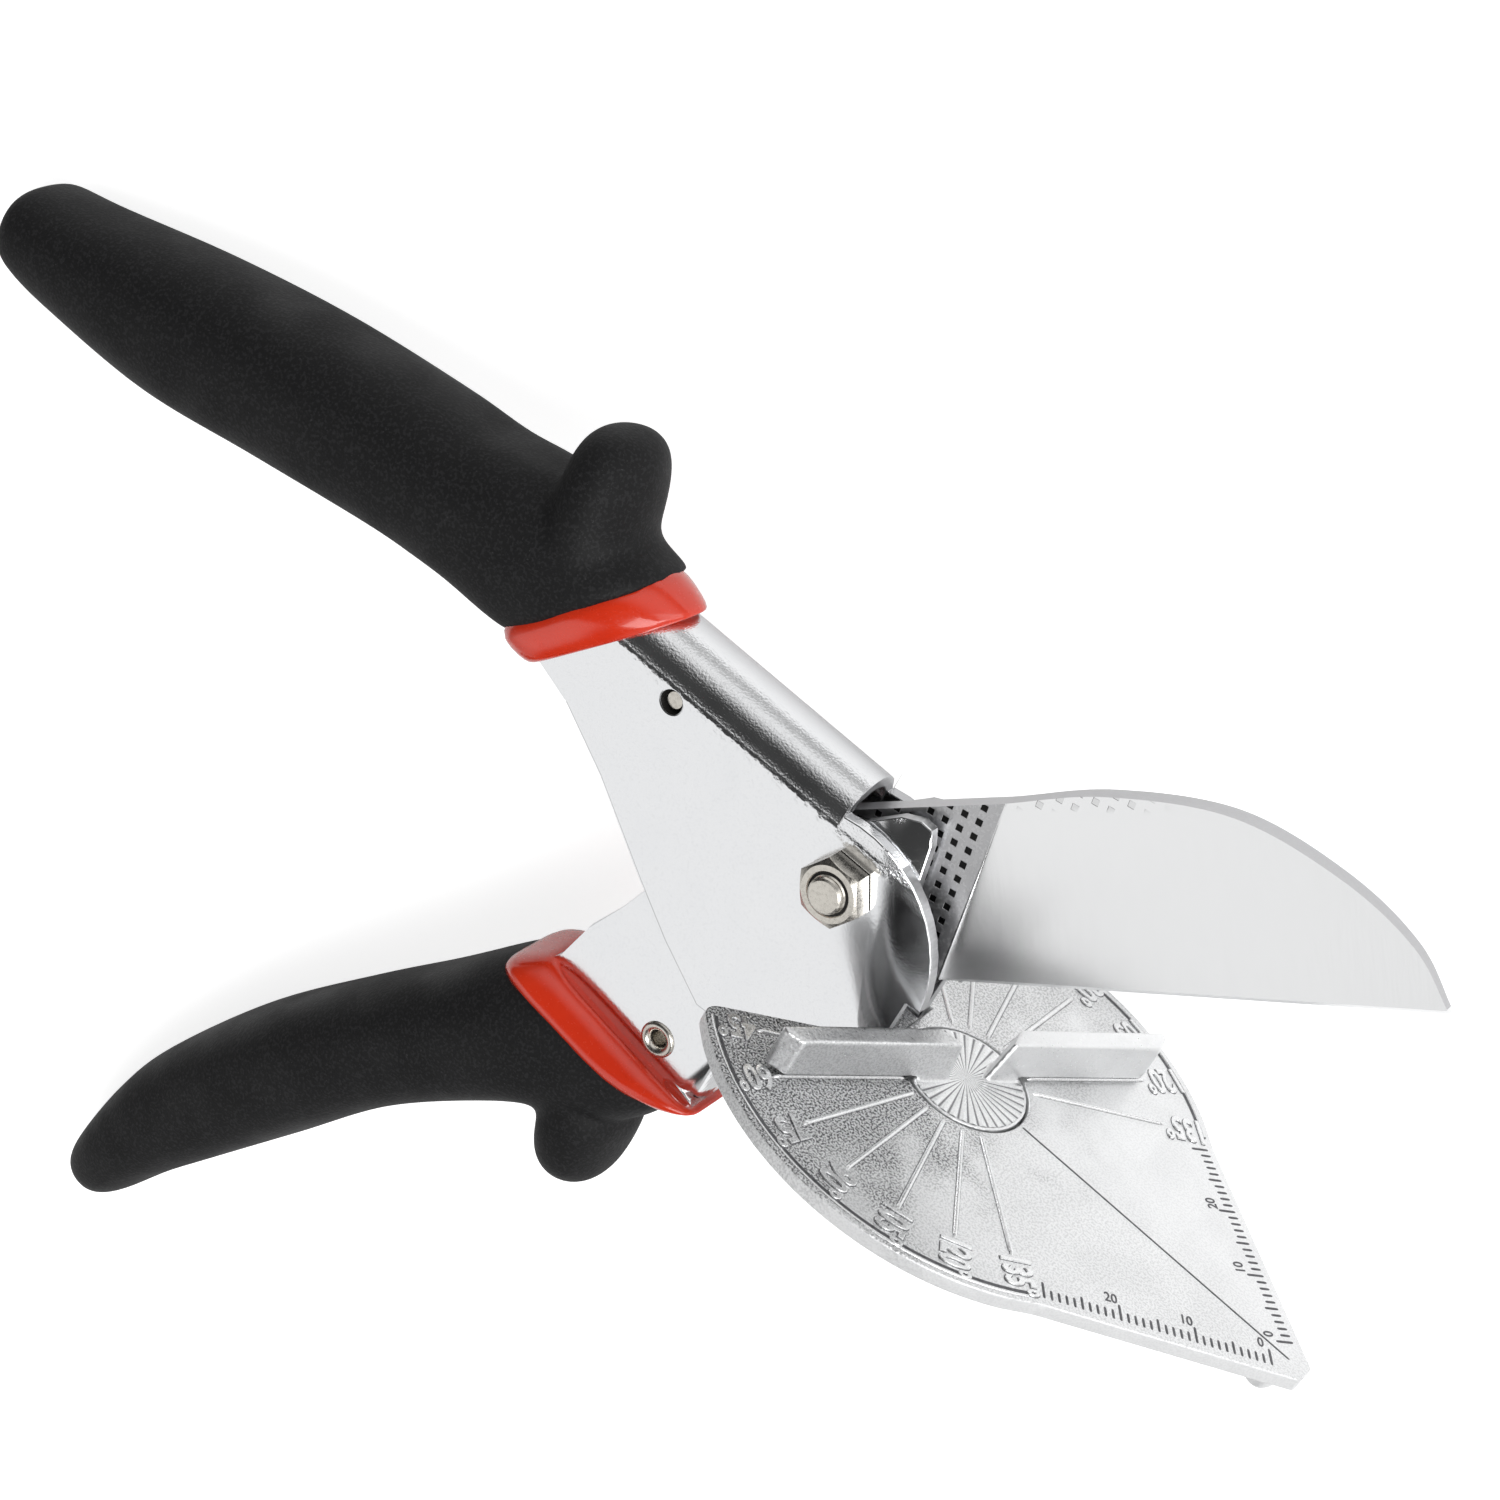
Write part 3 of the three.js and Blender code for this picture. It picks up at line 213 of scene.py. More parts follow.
def shader_group(name, inputs, outputs):
    """A group and its two inner ends. A socket named Place is a vector, and the others are floats."""
    group = bpy.data.node_groups.new(name, "ShaderNodeTree")
    for labels, end in ((inputs, "INPUT"), (outputs, "OUTPUT")):
        for label in labels:
            kind = "NodeSocketVector" if label == "Place" else "NodeSocketFloat"
            group.interface.new_socket(label, in_out=end, socket_type=kind)
    return group, group.nodes.new("NodeGroupInput").outputs, group.nodes.new("NodeGroupOutput").inputs


def grouped(tree, group, **feeds):
    """The group's outputs; a feed such as Grains_per_mm goes to the input Grains per mm."""
    feeds = {label.replace("_", " "): value for label, value in feeds.items()}
    return node(tree, "Group", feeds, node_tree=group).outputs


# A texture's place on the shears: the tool's millimetres, which stay with a piece as it turns.
tool_place, _, end = shader_group("place on the tool", [], ["Place"])
lookup = node(tool_place, "TexCoord").outputs["Object"]
laid = node(tool_place, "Mapping", {"Vector": lookup, "Location": joints["fence_swivel"]["pos_m"],
                                    "Rotation": turn.to_euler(), "Scale": (0.001, 0.001, 0.001)},
            vector_type="TEXTURE")
tool_place.links.new(laid.outputs[0], end["Place"])

# Fine grain: the speckle of a plated, cast or foamed skin, as a mask, a height and a broad cloud.
grain, start, end = shader_group("fine grain", ["Place", "Grains per mm", "Coverage"],
                                 ["Mask", "Height", "Cloud"])
fine = noise(grain, start["Place"], start["Grains per mm"], 3.0)
broad = noise(grain, start["Place"], product(grain, start["Grains per mm"], 0.045), 2.0)
low = maths(grain, "SUBTRACT", 0.75, product(grain, start["Coverage"], 0.5))
grain.links.new(between(grain, fine, low, total(grain, low, 0.12)), end["Mask"])
grain.links.new(fine, end["Height"])
grain.links.new(broad, end["Cloud"])

# Hairline scratches that handling leaves on plated and cast skins, in two directions.
scratches, start, end = shader_group("hairline scratches", ["Place", "Lines per mm", "Angle"], ["Mask"])
lines = []
for lean in (0.0, 1.9):
    feeds = {"Vector": start["Place"], "Angle": total(scratches, start["Angle"], lean)}
    leaned = node(scratches, "VectorRotate", feeds, rotation_type="Y_AXIS").outputs[0]
    stretched = vector_maths(scratches, "MULTIPLY", leaned, (1.0, 1.0, 0.07))
    lines.append(between(scratches, noise(scratches, stretched, start["Lines per mm"], 1.0), 0.72, 0.76))
scratches.links.new(maths(scratches, "MAXIMUM", *lines), end["Mask"])


def new_material(name, roughness=0.3, metallic=0.0, **fixed):
    """A material with its tree, its shader and the texture place; fixed holds constant sockets."""
    material = bpy.data.materials.new(name)
    material.use_nodes = True
    tree = material.node_tree
    shader = tree.nodes["Principled BSDF"]
    shader.inputs["Roughness"].default_value = roughness
    shader.inputs["Metallic"].default_value = metallic
    for label, value in fixed.items():
        shader.inputs[label.replace("_", " ")].default_value = value
    return material, tree, shader, grouped(tree, tool_place)["Place"]


def wired(tree, shader, **sockets):
    """Links each value to the shader's socket of that name, such as Base_Color."""
    for label, value in sockets.items():
        tree.links.new(value, shader.inputs[label.replace("_", " ")])


def mottled(name, scale, detail, tones, rough, stretch=(1.0, 1.0, 1.0), relief=0.0, **fixed):
    """A material whose tone, roughness and relief follow one noise; two pairs hold the ends."""
    material, tree, shader, place = new_material(name, metallic=1.0, **fixed)
    spots = noise(tree, vector_maths(tree, "MULTIPLY", place, stretch), scale, detail)
    wired(tree, shader, Base_Color=blended(tree, spots, *tones),
          Roughness=between(tree, spots, 0.3, 0.7, *rough), Normal=bump(tree, spots, relief, 0.0002))
    return material


def nickel(name, nose_radius=None):
    """Bright plate, nearly a mirror. The fronts of the upper cheeks lean inwards from a slanted
    line, and the round noses of the lower ones from nose_radius about the bolt. On the upper
    cheeks a dark band along that line and a darker far side of the spine are painted reflections."""
    material, tree, shader, place = new_material(name, metallic=1.0)
    speckle = grouped(tree, grain, Place=place, Grains_per_mm=3.4, Coverage=0.42)
    hair = grouped(tree, scratches, Place=place, Lines_per_mm=2.2, Angle=0.5)
    tone = blended(tree, speckle["Cloud"], (0.83, 0.84, 0.855, 1), (0.90, 0.905, 0.915, 1))
    tone = blended(tree, product(tree, speckle["Mask"], 0.12), tone, (0.62, 0.63, 0.65, 1))
    dull = between(tree, speckle["Cloud"], 0.3, 0.7, 0.11, 0.17)
    dull = total(tree, dull, product(tree, hair["Mask"], 0.05))
    x, y, z = parts_of(tree, place)
    if nose_radius:
        offset = vector_maths(tree, "SUBTRACT", place, (pivot.x, 0, pivot.z))
        offset = vector_maths(tree, "MULTIPLY", offset, (1, 0, 1))
        reach = vector_maths(tree, "LENGTH", offset, output="Value")
        leaning = maths(tree, "SUBTRACT", reach, nose_radius)
        ahead_of_bolt = between(tree, x, pivot.x - 3, pivot.x + 3)
        peel_depth = 0.008
        crinkled = 0.0
    else:
        leaning = total(tree, x, product(tree, z, NOSE_LINE_SLOPE), NOSE_LINE_START)
        ahead_of_bolt = between(tree, x, pivot.x, pivot.x + 4)
        # Painted reflection: a dark band on the cheeks' fronts just behind the slanted line.
        painted_dark_band = product(tree, between(tree, leaning, 0.5, 4.5), between(tree, leaning, 11.0, 6.5, 0.45, 0.85),
                       between(tree, z, SPINE_BOTTOM + 1, SPINE_BOTTOM - 1))
        tone = blended(tree, painted_dark_band, tone, (0.07, 0.072, 0.076, 1))
        spine = between(tree, z, SPINE_SIDE, SPINE_SIDE + 1.2)
        peel_depth = total(tree, 0.008, product(tree, spine, 0.045))
        # Painted reflection: the far side of the spine is greyed.
        painted_far_shade = product(tree, spine, between(tree, y, -2.5, 2.5))
        tone = blended(tree, product(tree, painted_far_shade, 0.75), tone, (0.42, 0.425, 0.435, 1))
        fold = product(tree, between(tree, z, SPINE_SIDE - 1, SPINE_SIDE),
                       between(tree, z, SPINE_SIDE + 1, SPINE_SIDE + 0.2), between(tree, x, -17.0, -22.0))
        crinkled = product(tree, noise(tree, place, 0.9, 3.0), fold, 0.2)
    bent = maths(tree, "MINIMUM", maths(tree, "MAXIMUM", leaning, 0.0), NOSE_BEND_REACH)
    bent = product(tree, maths(tree, "POWER", bent, 1.5), NOSE_BEND)
    straight = maths(tree, "MAXIMUM", maths(tree, "SUBTRACT", leaning, NOSE_BEND_REACH), 0.0)
    leaned = product(tree, total(tree, bent, product(tree, straight, NOSE_FALL)), ahead_of_bolt)
    form = total(tree, leaned, product(tree, noise(tree, place, 0.07, 1.0), 0.04), crinkled)
    skin = bump(tree, product(tree, speckle["Height"], peel_depth), Normal=bump(tree, form))
    wired(tree, shader, Base_Color=tone, Roughness=dull, Normal=skin)
    return material


# The cut edges' darker tone: partly their own, partly painted shade along the edges.
sheared_edge_and_shade = mottled("sheared plated edge", 3.0, 4.0, [(0.40, 0.40, 0.41, 1), (0.68, 0.685, 0.69, 1)],
                       (0.32, 0.46), (1.0, 0.15, 1.0), 0.3)

upper = dressed("upper_channel", EDGE_SOFTNESS, lambda point: point.x > UPPER_GRIP_COVERS_TO)
for face in upper.polygons:
    on_spine = face.center.z > SPINE_BOTTOM and face.normal.z > 0.05 and abs(face.normal.x) < 0.3
    face.material_index = 0 if abs(face.normal.y) > 0.5 or on_spine else 1
settle("folded_upper_handle", upper, "anvil_handle", ["upper_channel"],
       [nickel("nickel plate"), sheared_edge_and_shade])

# Lower handle: a narrower folded channel of the same plated steel. Its round nose turns on the
# pivot bush between the upper cheeks, and the blade sits between its own cheeks.
LOWER_GRIP_COVERS_TO = -24.0
LOWER_NOSE_RADIUS = 6.6

lower = dressed("lower_channel", EDGE_SOFTNESS, lambda point: point.z > LOWER_GRIP_COVERS_TO)
for face in lower.polygons:
    on_web = face.normal.x > 0.15 and face.center.z < 3
    face.material_index = 0 if abs(face.normal.y) > 0.3 or on_web else 1
settle("folded_lower_handle", lower, "blade_handle", ["lower_channel"],
       [nickel("lower nickel plate", LOWER_NOSE_RADIUS), sheared_edge_and_shade])

# Grips: soft black foam sleeves moulded over the rear of each handle, matte with a fine speckle.
# Each has a thumb lobe at its front, which stops the hand from sliding towards the blade.
GRIP_HALF_WIDTH = 10.3
GRIP_POWER = 2.6
GRIP_SIDES = 64
GRIP_RINGS = 110
GRIP_VOXEL = 0.5
LOBE_SIDES = 48
LOBE_RINGS = 24

# A row holds a point of the top line, a point of the bottom line and the width as a share, in
# millimetres ahead of the pivot and above it.
UPPER_GRIP_ROWS = [
    (-39.85, 14.85, -54.38, -5.05, 0.86),
    (-44.0, 15.2, -56.5, -5.4, 0.9),
    (-51.5, 16.2, -59.5, -5.4, 0.95),
    (-60.6, 16.5, -64.8, -5.2, 0.98),
    (-69.8, 14.6, -69.0, -5.3, 1.0),
    (-79.8, 13.7, -77.8, -6.4, 1.0),
    (-99.5, 10.8, -97.5, -10.2, 1.0),
    (-119.2, 6.3, -117.2, -14.1, 0.96),
    (-138.0, 0.7, -136.2, -14.4, 0.88),
    (-144.8, -1.0, -143.6, -13.8, 0.82),
    (-146.8, -1.4, -146.3, -13.1, 0.75),
    (-148.0, -2.2, -147.9, -11.9, 0.6),
]
LOWER_GRIP_ROWS = [
    (-33.15, -43.05, -4.95, -46.35, 0.86),
    (-36.2, -47.0, -8.5, -52.5, 0.9),
    (-39.8, -52.0, -15.8, -57.5, 0.95),
    (-44.1, -57.8, -25.0, -64.6, 0.98),
    (-53.1, -69.3, -38.5, -78.9, 1.0),
    (-65.0, -85.5, -49.6, -95.8, 1.0),
    (-74.8, -102.9, -60.4, -112.4, 0.94),
    (-78.4, -112.6, -65.8, -120.8, 0.9),
    (-80.8, -123.5, -70.7, -129.5, 0.82),
    (-81.5, -130.0, -73.4, -133.0, 0.66),
    (-80.2, -133.8, -76.1, -135.0, 0.36),
]

foam, tree, shader, place = new_material("black foam", roughness=0.7, Specular_IOR_Level=0.3)
pores = grouped(tree, grain, Place=place, Grains_per_mm=2.3, Coverage=0.5)
dust = grouped(tree, grain, Place=place, Grains_per_mm=3.4, Coverage=0.2)
tone = blended(tree, pores["Mask"], (0.005, 0.005, 0.0055, 1), (0.015, 0.015, 0.016, 1))
tone = blended(tree, product(tree, dust["Mask"], 0.8), tone, (0.045, 0.045, 0.047, 1))
wired(tree, shader, Base_Color=tone, Roughness=between(tree, pores["Cloud"], 0.3, 0.7, 0.60, 0.74),
      Normal=bump(tree, pores["Height"], 0.4, 0.0002))


def joined(*meshes):
    whole = bmesh.new()
    for mesh in meshes:
        whole.from_mesh(mesh)
    result = bpy.data.meshes.new("joined")
    whole.to_mesh(result)
    whole.free()
    return result


def from_pivot(x, z):
    return Vector((pivot.x + x, pivot.z + z))


def smooth_line(rows, count):
    """Points along a smooth line that runs through the given rows."""
    rows = [Vector(row) for row in rows]
    rows = [2 * rows[0] - rows[1], *rows, 2 * rows[-1] - rows[-2]]
    spans = len(rows) - 3
    line = []
    for i in range(count):
        reach = spans * i / (count - 1)
        k = min(int(reach), spans - 1)
        t = reach - k
        a, b, c, d = rows[k:k + 4]
        line.append(0.5 * (2 * b + (c - a) * t + (2 * a - 5 * b + 4 * c - d) * t ** 2
                           + (3 * b - a - 3 * c + d) * t ** 3))
    return line


def circle(radius, height, sides):
    angles = [2 * math.pi * i / sides for i in range(sides)]
    return [(radius * math.cos(angle), radius * math.sin(angle), height) for angle in angles]


def section(top, bottom, half, top_power, bottom_power, sides, lift=0.0):
    """One rounded section of a grip or collar, from its top point to its bottom point."""
    middle = (top + bottom) / 2
    reach = (top - bottom) / 2
    points = []
    for up, aside, _ in circle(1.0, 0.0, sides):
        power = 2 / (top_power if up > 0 else bottom_power)
        rise = math.copysign(abs(up) ** power, up)
        spot = middle + reach.normalized() * (reach.length + lift) * rise
        points.append((spot.x, (half + lift) * math.copysign(abs(aside) ** power, aside), spot.y))
    return points


def drawn(points, faces):
    mesh = bpy.data.meshes.new("drawn")
    mesh.from_pydata(points, [], faces)
    return mesh


def skin_over(rings, capped=True):
    """A skin from ring to ring, with capped ends or else with the points that meet welded."""
    sides = len(rings[0])
    faces = []
    for r in range(len(rings) - 1):
        for i in range(sides):
            j = (i + 1) % sides
            faces.append((r * sides + i, r * sides + j, (r + 1) * sides + j, (r + 1) * sides + i))
    if capped:
        faces.append(tuple(reversed(range(sides))))
        faces.append(tuple(range((len(rings) - 1) * sides, len(rings) * sides)))
    mesh = drawn([point for ring in rings for point in ring], faces)
    with opened(mesh) as work:
        if not capped:
            bmesh.ops.remove_doubles(work, verts=work.verts, dist=0.0005)
        bmesh.ops.recalc_face_normals(work, faces=work.faces)
    return mesh


def thumb_lobe(root, tip, half_length, half_width, power):
    """A rounded knob that grows from its root inside the sleeve to its tip."""
    root, tip = from_pivot(*root), from_pivot(*tip)
    root = Vector((root.x, 0, root.y))
    reach = Vector((tip.x, 0, tip.y)) - root
    side = Vector((reach.z, 0, -reach.x)).normalized()
    rings = []
    for k in range(LOBE_RINGS + 1):
        share = math.sin(math.pi / 2 * k / LOBE_RINGS) * 0.999
        swell = (1 - share ** power) ** (1 / power)
        rings.append([])
        for x, y, _ in circle(1.0, 0.0, LOBE_SIDES):
            spot = root + reach * share + side * half_length * swell * x
            rings[-1].append((spot.x, half_width * swell * y, spot.z))
    return skin_over(rings)


def grip(name, rows, lobe, body, replaced):
    """A sleeve over the rows with a thumb lobe grown out of it, blended as one moulding."""
    tops = smooth_line([(row[0], row[1], row[4]) for row in rows], GRIP_RINGS)
    bottoms = smooth_line([(row[2], row[3], 0) for row in rows], GRIP_RINGS)
    rings = []
    for top, bottom in zip(tops, bottoms):
        high, low = from_pivot(top.x, top.y), from_pivot(bottom.x, bottom.y)
        rings.append(section(high, low, top.z * GRIP_HALF_WIDTH, GRIP_POWER, GRIP_POWER, GRIP_SIDES))
    mesh = shaped(joined(skin_over(rings), thumb_lobe(*lobe)),
                  ("REMESH", {"mode": "VOXEL", "voxel_size": GRIP_VOXEL}),
                  ("SMOOTH", {"factor": 0.6, "iterations": 50}))
    settle(name, mesh, body, replaced, [foam], crease=180)


grip("upper_foam_grip", UPPER_GRIP_ROWS, ((-51.2, 10.0), (-54.1, 26.7), 6.1, 8.8, 3.8), "anvil_handle",
     ["upper_grip"])
grip("lower_foam_grip", LOWER_GRIP_ROWS, ((-15.2, -55.0), (-13.8, -68.9), 6.5, 8.2, 2.9), "blade_handle",
     ["lower_grip"])

# Collars: glossy red plastic rings pushed on the channels ahead of the grips. The front lip is
# rolled and stands a little off the steel, and the rear edge goes under the foam.
COLLAR_SIDES = 96

# How far back along the collar, as a share, and how far out from its plain section.
COLLAR_PROFILE = [(1.6, -1.4), (1.3, -0.5), (1.06, -0.1), (0.95, 0.0), (0.7, 0.14), (0.4, 0.16), (0.2, 0.12),
                  (0.08, 0.0), (0.02, -0.22), (0.0, -0.5), (0.02, -0.85), (0.06, -1.1), (0.1, -1.3),
                  (0.14, -4.6)]

red_gloss, tree, shader, place = new_material("red gloss plastic", Coat_Weight=0.5, Coat_Roughness=0.06)
flow = noise(tree, place, 0.16, 2.0)
fine = noise(tree, place, 2.2, 3.0)
wired(tree, shader, Base_Color=blended(tree, flow, (0.66, 0.028, 0.007, 1), (0.78, 0.045, 0.012, 1)),
      Roughness=between(tree, fine, 0.3, 0.7, 0.16, 0.28), Normal=bump(tree, flow, 0.25, 0.0008))


def collar(name, tops, bottoms, halves, top_power, bottom_powers, body, replaced):
    """Sections round the lip; each pair of values holds the front one and the rear one."""
    (front_top, rear_top), (front_bottom, rear_bottom) = (
        [from_pivot(*point) for point in pair] for pair in (tops, bottoms))
    rings = []
    for share, lift in COLLAR_PROFILE:
        inside = min(share, 1.0)
        half = halves[0] + (halves[1] - halves[0]) * inside ** 0.6
        bottom_power = bottom_powers[0] + (bottom_powers[1] - bottom_powers[0]) * inside ** 0.5
        rings.append(section(front_top.lerp(rear_top, share), front_bottom.lerp(rear_bottom, share), half,
                             top_power, bottom_power, COLLAR_SIDES, lift))
    settle(name, skin_over(rings), body, replaced, [red_gloss], crease=70)


collar("upper_red_collar", ((-34.8, 13.1), (-39.6, 14.6)), ((-50.0, -6.0), (-54.0, -5.0)), (7.1, 8.8),
       2.0, (5.0, 5.0), "anvil_handle", ["upper_collar"])
collar("lower_red_collar", ((-28.8, -39.5), (-32.9, -42.8)), ((-0.7, -42.9), (-4.7, -46.0)), (6.0, 8.8),
       5.0, (9.0, 2.9), "blade_handle", ["lower_collar"])

# Table: a zinc casting with a protractor on it, held between the cheeks by the lug at its rear. Its
# skin is bright and granular and its trimmed edge smoother. It has raised lines, figures and a fine
# rim, and millimetre scales along both front edges.
TABLE_RADIUS = 34.92
TABLE_THICKNESS = 2.1
TABLE_ROUNDING = 0.28
TIP_REACH = 53.0
TIP_HALF_WIDTH = 1.6
TIP_ROUNDING = 1.0
SHOULDER_DEGREES = 41
SHOULDER_ROUNDING = 9.0
EAR_DEGREES = 139.5
EAR_ROUNDING = 3.2
ROUND_RIM_DEGREES = (48, 131)
ROUND_RIM_STEPS = 42
SLOT_FRONT = -9.69
SLOT_HALF = 6.3
SLOT_FLARE = 1.8
HUB_HOLE_RADIUS = 8.6
BOSS_BOTTOM = -4.4
BOSS_RADIUS = 9.6
SCREW_WELL_TOP = -2.4
SCREW_WELL_RADIUS = 5.3
LUG_FRONT = -8.69
LUG_REAR = -18.89
LUG_TOP = -0.6
LUG_BOTTOM = -11.3
LUG_HALF = 3.9
FOOT_PLACE = (TIP_REACH - 4.2, -1.2)
SMALLEST_ANGLE = 45
ANGLE_STEP = 15
ANGLE_LINE = (9.3, 28.2)
FIGURE_RADIUS = 31.1
FIGURE_HEIGHT = 3.7
ROOT_WIDTH = 0.22
RIM_LINE = [(33.75, -0.05), (33.8, 0.1), (33.95, 0.16), (34.1, 0.1), (34.15, -0.05)]
RIM_LINE_DEGREES = (43, 136.5)
RIM_SHADE = [(33.25, 0.02), (33.7, 0.02)]
STRAIGHT_EDGE_END = (26.4, -22.96)
SCALE_LENGTH = 30
SCALE_START = 3.65
SCALE_INSET = 1.1


def zinc(name, smooth, dark, metallic=1.0):
    """Cast zinc: bright grains over dark pits, which are strongest near the handles. The darkening
    there and on the near side is painted shade, and the pits grow with it.
    """
    material, tree, shader, place = new_material(name, metallic=metallic)
    grains = grouped(tree, grain, Place=place, Grains_per_mm=2.6, Coverage=0.5)
    pits = grouped(tree, grain, Place=place, Grains_per_mm=3.6, Coverage=0.58)
    lying = node(tree, "VectorRotate", {"Vector": place, "Angle": math.pi / 2}, rotation_type="X_AXIS")
    rubbed = grouped(tree, scratches, Place=lying.outputs[0], Lines_per_mm=1.3, Angle=0.3)
    x, y, _ = parts_of(tree, place)
    cloud = product(tree, maths(tree, "SUBTRACT", grains["Cloud"], 0.5), 60.0)
    # rear: painted shade, darker towards the handles and the near side; it also deepens the pits and their
    # relief there.
    rear = product(tree, between(tree, total(tree, x, cloud), 16.0, -10.0, 0.22, 1.0),
                   between(tree, y, 8.0, -8.0, 0.45, 1.0))
    patch = between(tree, grains["Cloud"], 0.38, 0.62)
    tone = blended(tree, patch, (0.86, 0.865, 0.87, 1), (0.90, 0.905, 0.91, 1))
    tone = blended(tree, product(tree, rubbed["Mask"], 0.25), tone, (0.97, 0.97, 0.97, 1))
    tone = blended(tree, product(tree, rear, 0.3 * dark), tone, (0.45, 0.45, 0.46, 1))
    tone = blended(tree, product(tree, pits["Mask"], dark, rear), tone, (0.05, 0.05, 0.055, 1))
    relief = product(tree, grains["Height"], 0.26 * dark + 0.01, rear)
    wired(tree, shader, Base_Color=tone, Normal=bump(tree, relief),
          Roughness=between(tree, grains["Height"], 0.3, 0.7, smooth, smooth + 0.16))
    return material


def arc(centre, radius, start, end, steps=48):
    points = []
    for i in range(steps + 1):
        angle = math.radians(start + (end - start) * i / steps)
        points.append((centre[0] + radius * math.cos(angle), centre[1] + radius * math.sin(angle)))
    return points


def softened(points, radii, steps=6):
    """The outline with some corners rounded; radii is one number for each point."""
    result = []
    for i, radius in enumerate(radii):
        here = Vector(points[i])
        if not radius:
            result.append(tuple(here))
            continue
        back = Vector(points[i - 1]) - here
        on = Vector(points[(i + 1) % len(points)]) - here
        reach = min(radius / math.tan(back.angle(on) / 2), 0.45 * back.length, 0.45 * on.length)
        a, b = here + back.normalized() * reach, here + on.normalized() * reach
        for k in range(steps + 1):
            t = k / steps
            result.append(tuple((1 - t) ** 2 * a + 2 * t * (1 - t) * here + t ** 2 * b))
    return result


def plate(outlines, low, high, edge):
    """A flat plate between two heights with rounded edges: its rim first, then its holes."""
    curve = bpy.data.curves.new("plate", "CURVE")
    curve.dimensions = "2D"
    curve.fill_mode = "BOTH"
    curve.extrude = (high - low) / 2 - edge
    curve.bevel_depth = edge
    curve.bevel_resolution = 2
    curve.offset = -edge
    for k, outline in enumerate(outlines):
        area = sum(a[0] * b[1] - b[0] * a[1] for a, b in zip(outline, outline[1:] + outline[:1]))
        if (area > 0) == (k == 0):
            outline = outline[::-1]
        spline = curve.splines.new("POLY")
        spline.points.add(len(outline) - 1)
        for point, (x, y) in zip(spline.points, outline):
            point.co = (x, y, 0, 1)
        spline.use_cyclic_u = True
    mesh = shaped(curve)
    mesh.transform(Matrix.Translation((0, 0, (low + high) / 2)))
    with opened(mesh) as work:
        bmesh.ops.remove_doubles(work, verts=work.verts, dist=0.0005)
    return mesh


def turned(profile, sides=48):
    """A round body about the upward axis; the profile holds radius and height."""
    rings = [circle(radius, height, sides) for radius, height in profile]
    return skin_over(rings, capped=False)


def ridge(start, end, width, height):
    """A raised cast line with a rounded top and tapered ends."""
    start, end = Vector(start), Vector(end)
    run = (end - start).length
    along = (end - start).normalized()
    side = Vector((-along.y, along.x))
    buried = 0.03
    stations = [(0.0, 0.1), (0.6 * width, 0.8), (1.2 * width, 1.0)]
    stations += [(run - reach, share) for reach, share in reversed(stations)]
    points, faces = [], []
    for reach, share in stations:
        for k in range(7):
            angle = math.pi * k / 6
            spot = start + along * reach + side * (-math.cos(angle) * width / 2 * (0.6 + 0.4 * share))
            points.append((spot.x, spot.y, -buried + (height + buried) * math.sin(angle) * share))
    for r in range(len(stations) - 1):
        for k in range(6):
            faces.append((r * 7 + k, (r + 1) * 7 + k, (r + 1) * 7 + k + 1, r * 7 + k + 1))
    return drawn(points, faces)


def figure(text, height, squeeze, where, reading, rise, swell, spread=0.0):
    """A raised figure of the given height, read along the given direction."""
    digit_share = 0.69
    curve = bpy.data.curves.new("figure", "FONT")
    curve.body = text
    curve.size = height / digit_share
    curve.align_x = "CENTER"
    curve.align_y = "CENTER"
    curve.extrude = rise / 2
    curve.offset = swell * 0.5 + spread
    curve.bevel_depth = swell
    curve.bevel_resolution = 2
    curve.resolution_u = 4
    mesh = shaped(curve)
    facing = Matrix.Rotation(math.atan2(reading[1], reading[0]), 4, "Z")
    mesh.transform(Matrix.Translation((*where, 0)) @ facing @ Matrix.Diagonal((squeeze, 1, 1, 1)))
    return mesh


def rim_ring(profile):
    """A turned ring, left out over the straight edges in front and the slot behind."""
    ring = turned(profile, 240)
    with opened(ring) as work:
        gone = []
        for face in work.faces:
            middle = face.calc_center_median()
            bearing = abs(math.degrees(math.atan2(middle.y, middle.x)))
            if not RIM_LINE_DEGREES[0] < bearing < RIM_LINE_DEGREES[1]:
                gone.append(face)
        bmesh.ops.delete(work, geom=gone, context="FACES")
    return ring


on_edge = Matrix.Rotation(math.radians(90), 4, "X")
shoulder, ear = arc((0, 0), TABLE_RADIUS, -SHOULDER_DEGREES, -EAR_DEGREES, 1)
round_rim = arc((0, 0), TABLE_RADIUS, -ROUND_RIM_DEGREES[0], -ROUND_RIM_DEGREES[1], ROUND_RIM_STEPS)
near = [(TIP_REACH, -TIP_HALF_WIDTH), shoulder, *round_rim, ear, (SLOT_FRONT - SLOT_FLARE, -SLOT_HALF),
        (SLOT_FRONT, -SLOT_HALF)]
near_radii = [TIP_ROUNDING, SHOULDER_ROUNDING, *[0] * len(round_rim), EAR_ROUNDING, 0, 0]
rim = softened(near + [(x, -y) for x, y in reversed(near)], near_radii + near_radii[::-1])
hub_hole = arc((0, 0), HUB_HOLE_RADIUS, 0, 355, 71)
